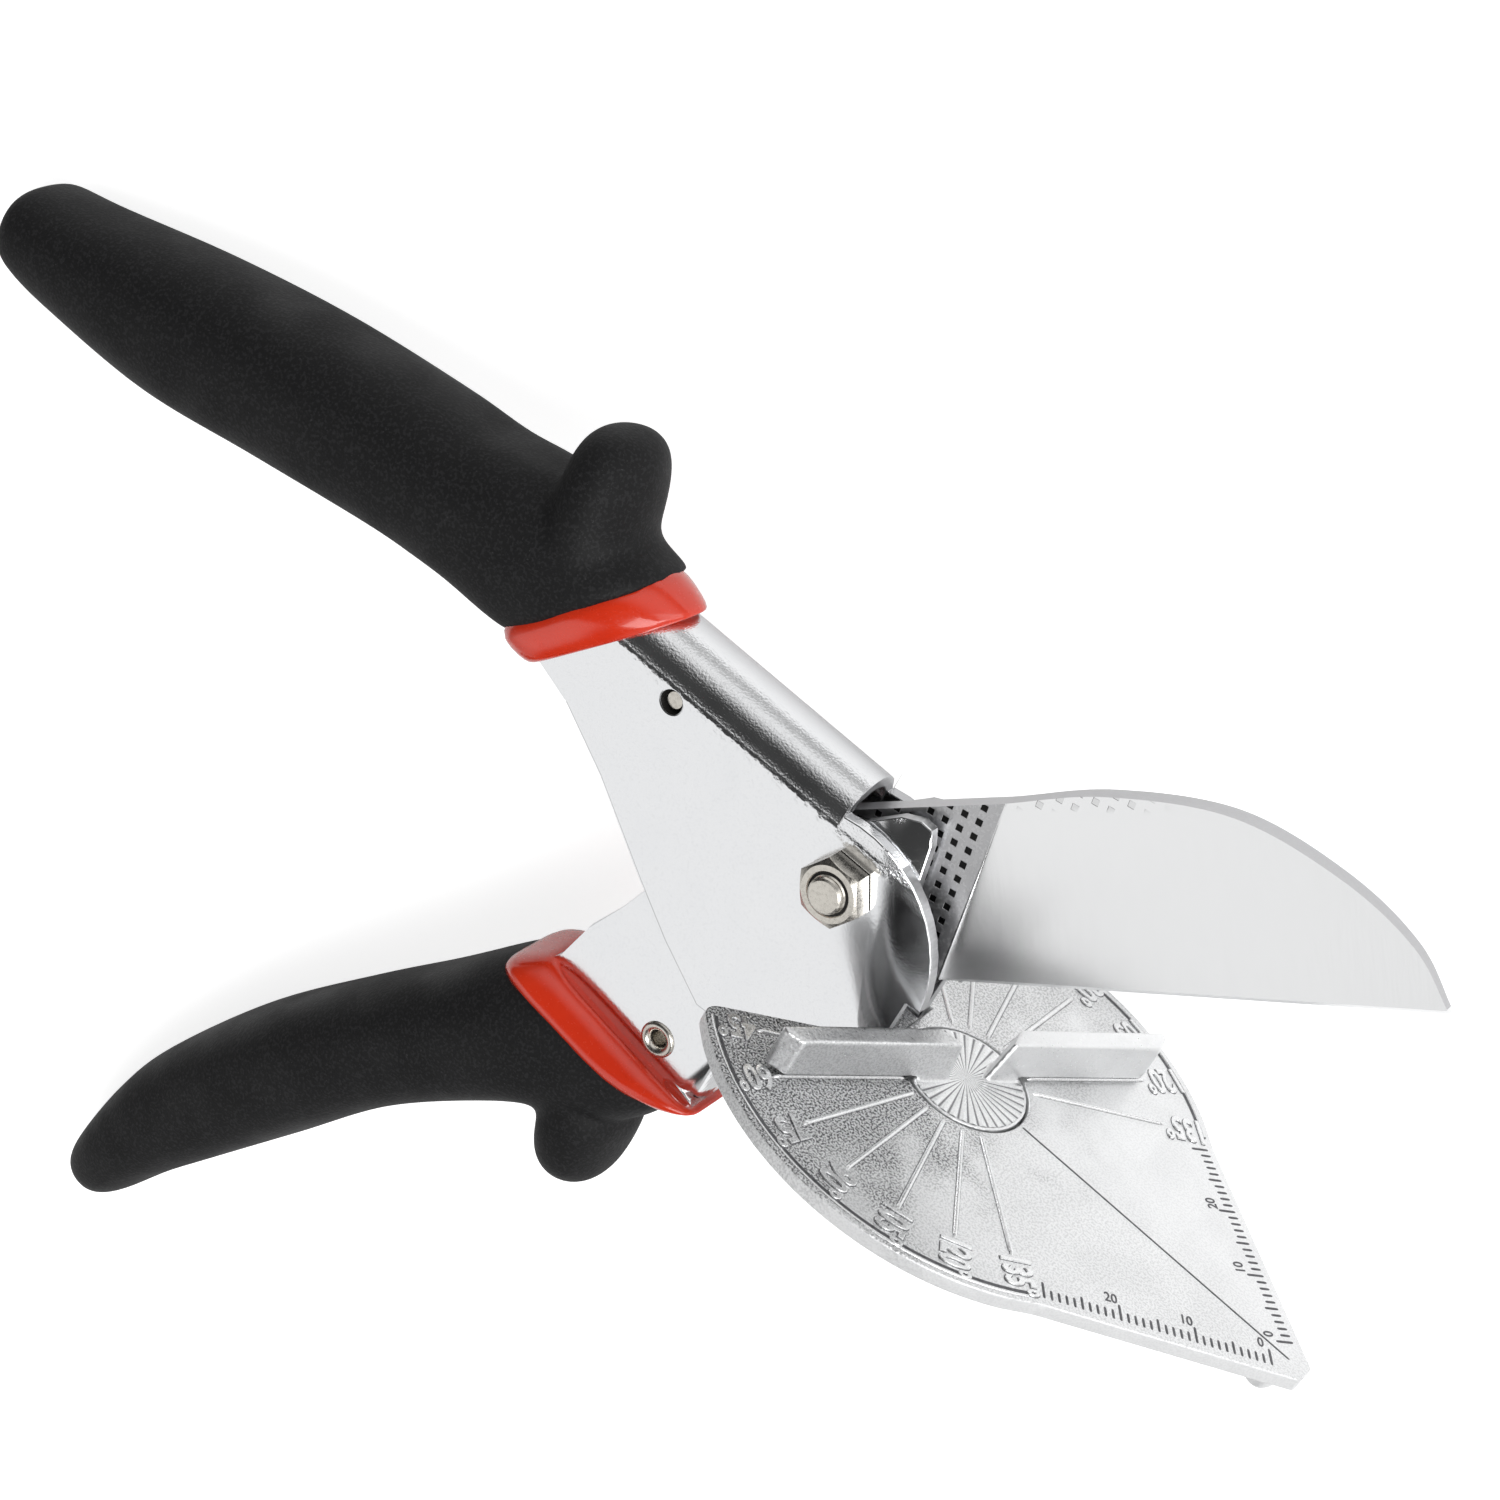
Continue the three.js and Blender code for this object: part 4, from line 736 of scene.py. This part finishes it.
boss = turned([(HUB_HOLE_RADIUS, -TABLE_THICKNESS + 0.1), (HUB_HOLE_RADIUS, SCREW_WELL_TOP),
               (SCREW_WELL_RADIUS, SCREW_WELL_TOP), (SCREW_WELL_RADIUS, BOSS_BOTTOM + 0.2),
               (SCREW_WELL_RADIUS + 0.2, BOSS_BOTTOM), (BOSS_RADIUS - 0.4, BOSS_BOTTOM),
               (BOSS_RADIUS - 0.1, BOSS_BOTTOM + 0.12), (BOSS_RADIUS, BOSS_BOTTOM + 0.4),
               (BOSS_RADIUS, -TABLE_THICKNESS + 0.1)], 72)
lug = plate([softened([(LUG_REAR, LUG_BOTTOM), (LUG_FRONT, LUG_BOTTOM), (LUG_FRONT, LUG_TOP),
                       (LUG_REAR, LUG_TOP)], [1.2, 1.2, 0, 0])], -LUG_HALF, LUG_HALF, 0.4)
lug.transform(on_edge)
foot = turned([(0, -4.7), (0.9, -4.65), (1.6, -4.3), (2.0, -3.5), (2.2, -2.0)], 24)
foot.transform(Matrix.Translation((*FOOT_PLACE, 0)))
table = joined(plate([rim, hub_hole], -TABLE_THICKNESS, 0, TABLE_ROUNDING), boss, lug, foot)
for face in table.polygons:
    face.material_index = 1 if abs(face.normal.z) < 0.6 and face.center.z < -0.2 else 0
settle("protractor_table", table, "anvil_handle", ["table"],
       [zinc("cast zinc", 0.30, 0.9), zinc("trimmed zinc edge", 0.42, 0.25, metallic=0.55)])

# The raised lines and figures stand in a thin dark root: painted shade round their feet.
marks, roots = [], []
for k in range(7):
    for side in (-1, 1):
        angle = math.radians(side * (135 - ANGLE_STEP * k))
        out = Vector((math.cos(angle), math.sin(angle)))
        start, end = out * ANGLE_LINE[0], out * ANGLE_LINE[1]
        marks.append(ridge(start, end, 0.62, 0.34))
        roots.append(ridge(start - out * 0.1, end + out * 0.1, 0.62 + ROOT_WIDTH, 0.03))
        label = (f"{SMALLEST_ANGLE + ANGLE_STEP * k}°", FIGURE_HEIGHT, 0.7 if k < 4 else 0.6,
                 out * FIGURE_RADIUS, -side * out)
        marks.append(figure(*label, 0.3, 0.1))
        roots.append(figure(*label, 0.03, 0.0, ROOT_WIDTH + 0.02))
settle("raised_scale", joined(*marks, rim_ring(RIM_LINE)), "anvil_handle", [],
       [zinc("raised bright zinc", 0.2, 0.04)], crease=50)

ruler = []
edge_start = Vector((TIP_REACH, -TIP_HALF_WIDTH))
edge_run = (Vector(STRAIGHT_EDGE_END) - edge_start).normalized()
inward = Vector((edge_run.y, -edge_run.x))
for k in range(SCALE_LENGTH + 1):
    length = 2.6 if k % 10 == 0 else 2.1 if k % 5 == 0 else 1.6
    start = edge_start + edge_run * (SCALE_START + k) + inward * SCALE_INSET
    end = start + inward * length
    for flip in (1, -1):
        ruler.append(ridge((start.x, flip * start.y), (end.x, flip * end.y), 0.38, 0.08))
for k in (0, 10, 20):
    spot = edge_start + edge_run * (SCALE_START + k + 1.0) + inward * 4.3
    for flip in (1, -1):
        reading = (-flip * edge_run.x, -edge_run.y)
        ruler.append(figure(str(k), 1.35, 0.9, (spot.x, flip * spot.y), reading, 0.05, 0.02))
# The cut line is a thin dark strip: painted shade standing in for the groove the blade closes on.
painted_cut_groove = ridge((9.0, 0), (TIP_REACH - 2.5, 0), 0.34, 0.05)
line_zinc = mottled("scale line zinc", 1.6, 4.0, [(0.05, 0.05, 0.055, 1), (0.24, 0.24, 0.25, 1)],
                    (0.45, 0.45))
settle("ruler_marks", joined(*ruler, painted_cut_groove), "anvil_handle", [], [line_zinc])
# Painted shade: the dark roots of the lines and figures, and a dark ring inside the rim line.
settle("painted_rib_shade", joined(*roots, rim_ring(RIM_SHADE)), "anvil_handle", [], [line_zinc])

# Fence: a second zinc casting that turns in the table's round seat. Two square arms stand on its
# hub, and fine rays are pressed into the hub's top, with painted shade in their valleys. Its
# corners are soft from the die.
FENCE_REST_DEGREES = 30
FENCE_VOXEL = 0.22
PLEATS = 36
PLEAT_RADIUS = 7.9
PLEAT_HEIGHT = 0.11

fence = dressed("fence", 0)
fence.transform(Matrix.Rotation(math.radians(FENCE_REST_DEGREES), 4, "Z"))
fence = shaped(fence, ("REMESH", {"mode": "VOXEL", "voxel_size": FENCE_VOXEL}),
               ("SMOOTH", {"factor": 0.6, "iterations": 4}))
fence.transform(Matrix.Rotation(math.radians(-FENCE_REST_DEGREES), 4, "Z"))
settle("swivel_fence", fence, "fence", ["fence"], [zinc("fence cast zinc", 0.27, 0.2)],
       crease=180)

ends = circle(PLEAT_RADIUS, 0.0, 2 * PLEATS)
fan = [(0, 0, 0.05), *[(x, y, 0.0 if i % 2 else PLEAT_HEIGHT) for i, (x, y, _) in enumerate(ends)]]
rays = drawn(fan, [(0, 1 + i, 1 + (i + 1) % len(ends)) for i in range(len(ends))])
pleat_zinc = zinc("pleated zinc", 0.2, 0.05)
tree = pleat_zinc.node_tree
shader = tree.nodes["Principled BSDF"]
cast_tone = shader.inputs["Base Color"].links[0].from_socket
x, y, _ = parts_of(tree, grouped(tree, tool_place)["Place"])
pleat = total(tree, product(tree, maths(tree, "ARCTAN2", y, x), PLEATS / (2 * math.pi)), 50.5)
off_middle = maths(tree, "ABSOLUTE", maths(tree, "SUBTRACT", maths(tree, "FRACT", pleat), 0.5))
# Painted shade: the valleys between the rays are darkened.
painted_valley_shade = between(tree, off_middle, 0.5, 0.28)
wired(tree, shader, Base_Color=blended(tree, painted_valley_shade, (0.2, 0.2, 0.21, 1), cast_tone))
settle("pleated_hub", rays, "fence", [], [pleat_zinc], crease=5)

# Blade: hardened steel, 3 mm thick, ground hollow on both faces ahead of a slanted line and
# bevelled along the edge. Behind the line the plate keeps its rolled skin with rows of small pits,
# and a slotted tail takes the blade's pin.
OPEN_ANGLE = math.radians(39.6)
BLADE_LENGTH = 64.6
BLADE_DEPTH = 24.18
BLADE_HALF = 1.5
HOLE_FROM_HEEL = 8.5
HOLE_DEPTH = 13.5
HOLE_RADIUS = 4.5
BACK_SHARES = [(1, 0), (0.95, 0.32), (0.83, 0.64), (0.642, 0.92), (0.403, 1), (0.19, 0.95)]
TAIL = [(-29.8, 20.3), (-36.99, 14.2), (-36.99, 12.2)]
TAIL_SLOT_MIDDLE = (-27.3, 8.8)
TAIL_SLOT_RADIUS = 3.4
TAIL_FOOT = [(-40.6, 5.4), (-40.6, 2.03), (-38.57, 0)]
GRIND_LEAN = math.atan(0.56)
GRIND_START = 0.02
HOLLOW_REACH = 6.2
EDGE_BEVEL = 0.5
EDGE_HALF = 0.15
WEDGE_HALF = 0.6
WEDGE_DEPTH = 24.2
PIT_PITCH = 2.05
blade_turn = (Matrix.Translation(pivot) @ Matrix.Rotation(-OPEN_ANGLE, 4, "Y")
              @ Matrix.Translation((HOLE_FROM_HEEL, 0, -HOLE_DEPTH)))


def ground_steel():
    """Brushed steel ahead of the grind line and rolled skin behind it, in the blade's own lengths.
    The rolled skin darkens towards the tail as painted shadow, and the ground face towards the
    heel as painted shade.
    """
    material, tree, shader, place = new_material("ground blade steel", metallic=1.0)
    axes = blade_turn.inverted()
    on_blade = node(tree, "Mapping", {"Vector": place, "Location": axes.to_translation(),
                                      "Rotation": axes.to_euler()}, vector_type="POINT").outputs[0]
    along, aside, depth = parts_of(tree, on_blade)
    sine, cosine = math.sin(GRIND_LEAN), math.cos(GRIND_LEAN)
    front = maths(tree, "SUBTRACT", product(tree, along, cosine), product(tree, depth, sine))
    up_the_line = total(tree, product(tree, along, sine), product(tree, depth, cosine))
    ground = between(tree, front, -0.05, 0.1)

    rows = []
    for reach in (front, up_the_line):
        cell = maths(tree, "FRACT", maths(tree, "DIVIDE", total(tree, reach, 200.0), PIT_PITCH))
        rows.append(between(tree, maths(tree, "ABSOLUTE", maths(tree, "SUBTRACT", cell, 0.5)), 0.23, 0.19))
    rolled = maths(tree, "SUBTRACT", 1.0, between(tree, front, -0.9, -0.8))
    left_over = product(tree, between(tree, depth, 22.0, 23.0), between(tree, along, 36.0, 26.0),
                        between(tree, along, 11.0, 17.0), 0.16)
    flat = between(tree, maths(tree, "ABSOLUTE", aside), 1.3, 1.36)
    pit = product(tree, *rows, maths(tree, "MAXIMUM", rolled, left_over), flat)

    brush = noise(tree, vector_maths(tree, "MULTIPLY", on_blade, (1.0, 1.0, 0.02)), 5.0, 3.0)
    skin = grouped(tree, grain, Place=place, Grains_per_mm=2.4, Coverage=0.5)
    raw = blended(tree, skin["Mask"], (0.56, 0.56, 0.57, 1), (0.68, 0.68, 0.69, 1))
    # Painted shadow: the rolled skin darkens towards the tail.
    raw = blended(tree, between(tree, front, -15.0, -6.0), (0.30, 0.30, 0.31, 1), raw)
    # Painted shade: the ground face darkens towards the heel and the edge.
    painted_heel_shade = product(tree, between(tree, front, 13.0, 2.0), between(tree, depth, 15.0, 3.0), 0.75)
    bright = blended(tree, brush, (0.88, 0.885, 0.89, 1), (0.93, 0.935, 0.94, 1))
    bright = blended(tree, painted_heel_shade, bright, (0.16, 0.16, 0.165, 1))
    tone = blended(tree, pit, blended(tree, ground, raw, bright), (0.02, 0.02, 0.02, 1))
    satin = between(tree, brush, 0.3, 0.7, 0.19, 0.23)
    coarse = between(tree, skin["Height"], 0.3, 0.7, 0.3, 0.45)
    rough = node(tree, "Mix", {0: ground, 2: coarse, 3: satin}).outputs[0]

    fade = maths(tree, "POWER", 2.718, product(tree, maths(tree, "MAXIMUM", front, 0.0), -0.06))
    heel = product(tree, fade, between(tree, depth, 20.0, -2.0), ground, 1.8)
    height = total(tree, product(tree, brush, 0.0008), product(tree, pit, -0.12), heel)
    wired(tree, shader, Base_Color=tone, Roughness=rough, Normal=bump(tree, height))
    return material


def blade_mesh():
    """The plate cut to its outline, then thinned to a hollow wedge ahead of the grind line."""
    back = smooth_line([(u * BLADE_LENGTH, v * BLADE_DEPTH, 0) for u, v in BACK_SHARES], 60)
    outline = [(0, 0), *[(p.x, p.y) for p in back], *TAIL,
               *arc(TAIL_SLOT_MIDDLE, TAIL_SLOT_RADIUS, 90, -90, 16), *TAIL_FOOT]
    bore = arc((-HOLE_FROM_HEEL, HOLE_DEPTH), HOLE_RADIUS, 0, 350, 35)
    mesh = plate([outline, bore], -BLADE_HALF, BLADE_HALF, 0.02)
    mesh.transform(on_edge)
    forward = Vector((math.cos(GRIND_LEAN), 0, -math.sin(GRIND_LEAN)))
    upright = Vector((0, 0, 1))
    cuts = [(forward * (GRIND_START + HOLLOW_REACH * (k / 13) ** 1.7), forward) for k in range(14)]
    cuts += [(forward * (HOLLOW_REACH + 3.9 * k), forward) for k in range(1, 14)]
    cuts += [(upright * (EDGE_BEVEL + 2 * k), upright) for k in range(12)]
    with opened(mesh) as work:
        for at, normal in cuts:
            bmesh.ops.bisect_plane(work, geom=work.verts[:] + work.edges[:] + work.faces[:], plane_co=at,
                                   plane_no=normal, dist=0.0001)
        for vertex in work.verts:
            along, aside, depth = vertex.co
            front = Vector((along, 0, depth)).dot(forward) - GRIND_START
            half = BLADE_HALF
            if front > 0:
                wedge = WEDGE_HALF + (BLADE_HALF - WEDGE_HALF) * max(depth, EDGE_BEVEL) / WEDGE_DEPTH
                left = 1 - min(front / HOLLOW_REACH, 1.0)
                half = BLADE_HALF - (BLADE_HALF - min(wedge, BLADE_HALF)) * math.sqrt(1 - left ** 2)
            if depth < EDGE_BEVEL and along > 0:
                half = EDGE_HALF + (half - EDGE_HALF) * max(depth, 0) / EDGE_BEVEL
            on_face = abs(aside) > BLADE_HALF - 0.1
            vertex.co.y = math.copysign(half if on_face else min(half, abs(aside)), aside)
        bmesh.ops.triangulate(work, faces=[face for face in work.faces if len(face.verts) > 4])
    for face in mesh.polygons:
        on_back = abs(face.normal.y) < 0.3 and face.center.z > 0.6 and face.center.x > -25
        face.material_index = 1 if on_back else 0
    mesh.transform(blade_turn)
    return mesh


blade_back = mottled("blade back", 2.6, 4.0, [(0.50, 0.50, 0.51, 1), (0.66, 0.66, 0.67, 1)], (0.42, 0.52))
settle("hollow_ground_blade", blade_mesh(), "blade_handle", ["blade"],
       [ground_steel(), blade_back], crease=25)

# Pivot: an M5 bolt through both handles, with a hex nut on the near cheek and the bolt's head on
# the far one. Both are warm nickel plated, and their corners are chamfered by turning.
HEX_FLATS = 8.0
HEX_SIDES = 72
HEX_ROUNDING = 0.08
CHAMFER_SLOPE = math.tan(math.radians(30))
CHEEK_OUTSIDE = 6.15
NUT_HEIGHT = 3.0
NUT_BORE = 2.62
HEAD_HEIGHT = 3.5
BOLT_RADIUS = 2.5
THREAD_START = 5.9
THREAD_DEPTH = 0.16
THREAD_SHADOW = CHEEK_OUTSIDE + NUT_HEIGHT - 0.13

warm_nickel, tree, shader, place = new_material("warm nickel", metallic=1.0)
fine = grouped(tree, grain, Place=place, Grains_per_mm=2.8, Coverage=0.4)
tone = blended(tree, fine["Cloud"], (0.60, 0.57, 0.52, 1), (0.72, 0.69, 0.63, 1))
tone = blended(tree, product(tree, fine["Mask"], 0.15), tone, (0.46, 0.43, 0.38, 1))
wired(tree, shader, Base_Color=tone, Roughness=between(tree, fine["Height"], 0.3, 0.7, 0.18, 0.32),
      Normal=bump(tree, fine["Height"], 0.02, 0.0002))
# A near-black material for painted shade in the nut's thread and the anchor pin's holes.
painted_gap_shade = mottled("painted gap shade", 1.5, 3.0, [(0.006, 0.006, 0.006, 1), (0.03, 0.028, 0.026, 1)], (0.6, 0.6),
                   Metallic=0.0, Specular_IOR_Level=0.2)


def hexagon(seat, crown, bore_radius=0.0):
    """A hex nut or head from the face it sits on to its crown, where a cone cuts its corners back."""
    half = HEX_FLATS / 2
    cone_start = 0.93 * half
    lead_in = 0.35 if bore_radius else 0.0
    inner = max(bore_radius, 0.01)
    down = math.copysign(1.0, seat - crown)

    def six_sided(share, height, cut=0.0):
        points = []
        for i in range(HEX_SIDES):
            angle = 2 * math.pi * i / HEX_SIDES
            radius = share * half / math.cos(angle % (math.pi / 3) - math.pi / 6)
            rise = height + down * cut * max(0.0, radius - cone_start)
            points.append((radius * math.cos(angle), radius * math.sin(angle), rise))
        return points

    def round_ring(radius, height):
        return circle(radius, height, HEX_SIDES)

    rings = [round_ring(inner + lead_in, seat), round_ring(cone_start, seat),
             six_sided(0.985, seat), six_sided(1.0, seat - down * HEX_ROUNDING),
             six_sided(1.0, crown + down * HEX_ROUNDING, CHAMFER_SLOPE),
             six_sided(0.985, crown, CHAMFER_SLOPE), round_ring(cone_start, crown),
             round_ring(inner + lead_in, crown)]
    if not bore_radius:
        return skin_over(rings)
    wall = [round_ring(inner, crown + down * lead_in), round_ring(inner, seat - down * lead_in)]
    return skin_over([*rings, *wall, rings[0]], capped=False)


onto_pivot = Matrix.Translation(pivot) @ on_edge
# A near-black ring inside the nut: painted shade in the thread.
thread_shadow = turned([(BOLT_RADIUS - 0.2, THREAD_SHADOW), (BOLT_RADIUS + 0.5, THREAD_SHADOW)])
nut = joined(hexagon(CHEEK_OUTSIDE, CHEEK_OUTSIDE + NUT_HEIGHT, NUT_BORE), thread_shadow)
for face in nut.polygons:
    radius = math.hypot(face.center.x, face.center.y)
    face.material_index = 1 if abs(face.center.z - THREAD_SHADOW) < 0.01 and radius < 3.0 else 0
nut.transform(onto_pivot)
settle("pivot_hex_nut", nut, "anvil_handle", ["pivot_nut"], [warm_nickel, painted_gap_shade],
       crease=28)

thread = [(BOLT_RADIUS - THREAD_DEPTH * (k % 2), THREAD_START + 0.2 * k) for k in range(18)]
shank = turned([(0, -7.0), (BOLT_RADIUS, -7.0), (BOLT_RADIUS, 5.8), *thread, (2.42, 9.6), (2.3, 9.9),
                (2.05, 10.1), (1.2, 10.13), (0, 10.14)])
bolt = joined(shank, hexagon(-CHEEK_OUTSIDE, -CHEEK_OUTSIDE - HEAD_HEIGHT))
bolt.transform(onto_pivot)
settle("pivot_hex_bolt", bolt, "anvil_handle", ["pivot_bolt"], [warm_nickel], crease=28)

# Hollow rivet: a nickel-plated tube through the lower cheeks, set by rolling its lips over. The
# spring's coil sits round it between the cheeks.
RIVET_PLACE = Vector((pivot.x - 10.7, 0, pivot.z - 38.4))
RIVET_HALF_PROFILE = [(1.1, 0), (1.1, 3.4), (1.2, 3.8), (1.42, 4.12), (1.75, 4.34), (2.1, 4.38),
                      (2.38, 4.28), (2.5, 4.12), (2.46, 4.0), (1.9, 4.0), (1.9, 0)]


def mirrored_bar(half_profile, place, sides):
    """A turned bar across the tool, the same at both ends."""
    bar = turned(half_profile + [(radius, -reach) for radius, reach in reversed(half_profile)], sides)
    bar.transform(Matrix.Translation(place) @ on_edge)
    return bar


settle("rolled_hollow_rivet", mirrored_bar(RIVET_HALF_PROFILE, RIVET_PLACE, 48), "blade_handle",
       ["hollow_rivet"], [warm_nickel], crease=50)

# Pins across the upper cheeks: the spring's anchor, which ends inside its holes, and the two domed
# rivets that hold the table's lug. All are nickel-plated steel.
ANCHOR_PLACE = Vector((pivot.x - 30.4, 0, pivot.z + 4.3))
ANCHOR_RADIUS = 1.25
ANCHOR_HOLE_RADIUS = 1.57
TABLE_RIVETS = {"front": (-12.5, 0, -4.6), "rear": (-16.7, 0, -9.1)}
DOME_PROFILE = [(0, 7.15), (0.7, 7.15), (1.4, 7.05), (1.95, 6.8), (2.2, 6.45), (2.2, 6.15), (1.5, 6.15),
                (1.5, 0)]

bar = turned([(0, -5.15), (1.1, -5.15), (ANCHOR_RADIUS, -5.0), (ANCHOR_RADIUS, 5.0), (1.1, 5.15),
              (0, 5.15)], 40)
# A near-black sleeve in the pin's holes: painted shade.
gap = turned([(ANCHOR_RADIUS - 0.01, 4.75), (ANCHOR_HOLE_RADIUS, 4.75), (ANCHOR_HOLE_RADIUS, 5.9)], 40)
pin = joined(bar, gap)
for face in pin.polygons:
    face.material_index = 1 if math.hypot(face.center.x, face.center.y) > ANCHOR_RADIUS + 0.03 else 0
pin.transform(Matrix.Translation(ANCHOR_PLACE) @ on_edge)
settle("anchor_pin_bar", pin, "anvil_handle", ["spring_anchor_pin"],
       [warm_nickel, painted_gap_shade])
for name, place in TABLE_RIVETS.items():
    settle("domed_rivet_" + name, mirrored_bar(DOME_PROFILE, place, 32), "anvil_handle",
           ["table_rivet_" + name], [warm_nickel])

# Fixings that hardly show: the screw and washers under the table, the bush and shims on the bolt,
# and the pin in the blade's tail. They are plain turned or pressed parts in their packed forms.
drawn_steel = mottled("drawn steel", 4.0, 3.0, [(0.34, 0.34, 0.335, 1), (0.55, 0.55, 0.54, 1)],
                      (0.28, 0.42), (1.0, 0.2, 1.0))
bearing_bronze = mottled("bearing bronze", 1.4, 4.0, [(0.45, 0.31, 0.14, 1), (0.66, 0.48, 0.25, 1)],
                         (0.3, 0.5))
for material, names in ((warm_nickel, ("fence_screw", "fence_washer", "blade_pin")),
                        (drawn_steel, ("fence_spring_washer", "blade_shim_near", "blade_shim_far")),
                        (bearing_bronze, ("pivot_bush",))):
    for name in names:
        frame["nodes"][name].data.materials.clear()
        frame["nodes"][name].data.materials.append(material)

# Return spring: hard-drawn round wire, coiled round the hollow rivet. Its long leg hooks over the
# anchor pin. The real spring bows as the handles close; here it keeps one fixed shape.
wire = dressed("return_spring", 0)
wire.transform(tool)
wire.materials.clear()
wire.materials.append(drawn_steel)
wire.shade_smooth()
wire.set_sharp_from_angle(angle=math.radians(50))
spring = shown("torsion_spring", wire)
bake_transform(spring)
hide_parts("return_spring")

# Studio: a pale floor that goes white where no shadow falls, a world with a bright wall on
# either side and a darker ceiling between them, and soft lamps. For mirror rays the floor also
# glows in a painted pool of light round the shears.
FLOOR_HALF = 4.0
FLOOR_GAP = 0.0002
corners = [(FLOOR_HALF * x, FLOOR_HALF * y, 0) for x, y in ((-1, -1), (1, -1), (1, 1), (-1, 1))]
floor = shown("floor", drawn(corners, [range(4)]))
floor.location.z = cad_box[0][2] - FLOOR_GAP
paper, tree, shader, _ = new_material("pale paper", roughness=0.9, Base_Color=(0.82, 0.82, 0.82, 1),
                                      Specular_IOR_Level=0.0, Emission_Color=(1, 1, 1, 1))
rays = node(tree, "LightPath").outputs
mirrored = maths(tree, "MAXIMUM", rays["Is Glossy Ray"], rays["Is Transmission Ray"])
distance = vector_maths(tree, "LENGTH", node(tree, "TexCoord").outputs["Object"], output="Value")
# Painted light: for mirror rays the floor glows most near the shears and fades out further away.
painted_light_pool = between(tree, distance, 0.25, 0.8, 0.32, 0.0)
glow = total(tree, product(tree, rays["Is Camera Ray"], 0.72), product(tree, mirrored, painted_light_pool))
wired(tree, shader, Emission_Strength=glow)
floor.data.materials.append(paper)

world = bpy.data.worlds.new("studio")
bpy.context.scene.world = world
world.use_nodes = True
tree = world.node_tree
tree.nodes.clear()
x, y, z = parts_of(tree, node(tree, "TexCoord").outputs["Generated"])
near_wall = product(tree, between(tree, y, -0.34, -0.52), between(tree, x, 0.1, -0.12),
                    between(tree, z, 0.1, 0.45, 0.5, 1.0), between(tree, x, -0.85, -0.65, 0.35, 1.0))
far_wall = product(tree, between(tree, y, 0.35, 0.82), between(tree, z, 0.05, 0.4, 0.3, 1.0))
side_wall = between(tree, x, 0.33, 0.65, 0.0, 0.62)
walls = maths(tree, "MAXIMUM", maths(tree, "MAXIMUM", near_wall, far_wall), side_wall)
studio = total(tree, 0.045, product(tree, walls, 0.88))
level = maths(tree, "MAXIMUM", studio, node(tree, "LightPath").outputs["Is Camera Ray"])
surround = node(tree, "Background", {"Color": (1, 1, 1, 1), "Strength": level})
node(tree, "OutputWorld", {"Surface": surround.outputs[0]})

# The lamps are square and point at the shears.
for name, where, side, power in (("key", (0.5, 0.0, 1.1), 0.7, 7.0), ("fill", (0.7, 0.6, 0.7), 0.8, 3.0)):
    data = bpy.data.lights.new(name, "AREA")
    data.shape = "SQUARE"
    data.size = side
    data.energy = power
    lamp = shown(name, data)
    lamp.location = where
    lamp.rotation_euler = (-Vector(where)).to_track_quat("-Z", "Y").to_euler()

# Camera: at the photograph's angle, fitted to the table's lines and ends. Its place is in tool
# millimetres, and its directions are in the tool's axes.
CAMERA_LENS = 75.5
CAMERA_PLACE = (61.174, -304.822, 226.795)
CAMERA_RIGHT = (0.731, 0.54161, 0.41509)
CAMERA_DOWN = (0.62426, -0.28513, -0.72732)
CAMERA_FORWARD = (-0.27557, 0.79079, -0.54654)
camera_data = bpy.data.cameras.new("camera")
camera_data.sensor_width = 36.0
camera_data.lens = CAMERA_LENS
camera_data.clip_start = 0.01
camera = shown("camera", camera_data)
right, down, forward = (turn @ Vector(axis) for axis in (CAMERA_RIGHT, CAMERA_DOWN, CAMERA_FORWARD))
pose = Matrix((right, -down, -forward)).transposed().to_4x4()
pose.translation = tool @ Vector(CAMERA_PLACE)
camera.matrix_world = pose
bpy.context.scene.camera = camera
bpy.context.scene.view_settings.view_transform = "Standard"
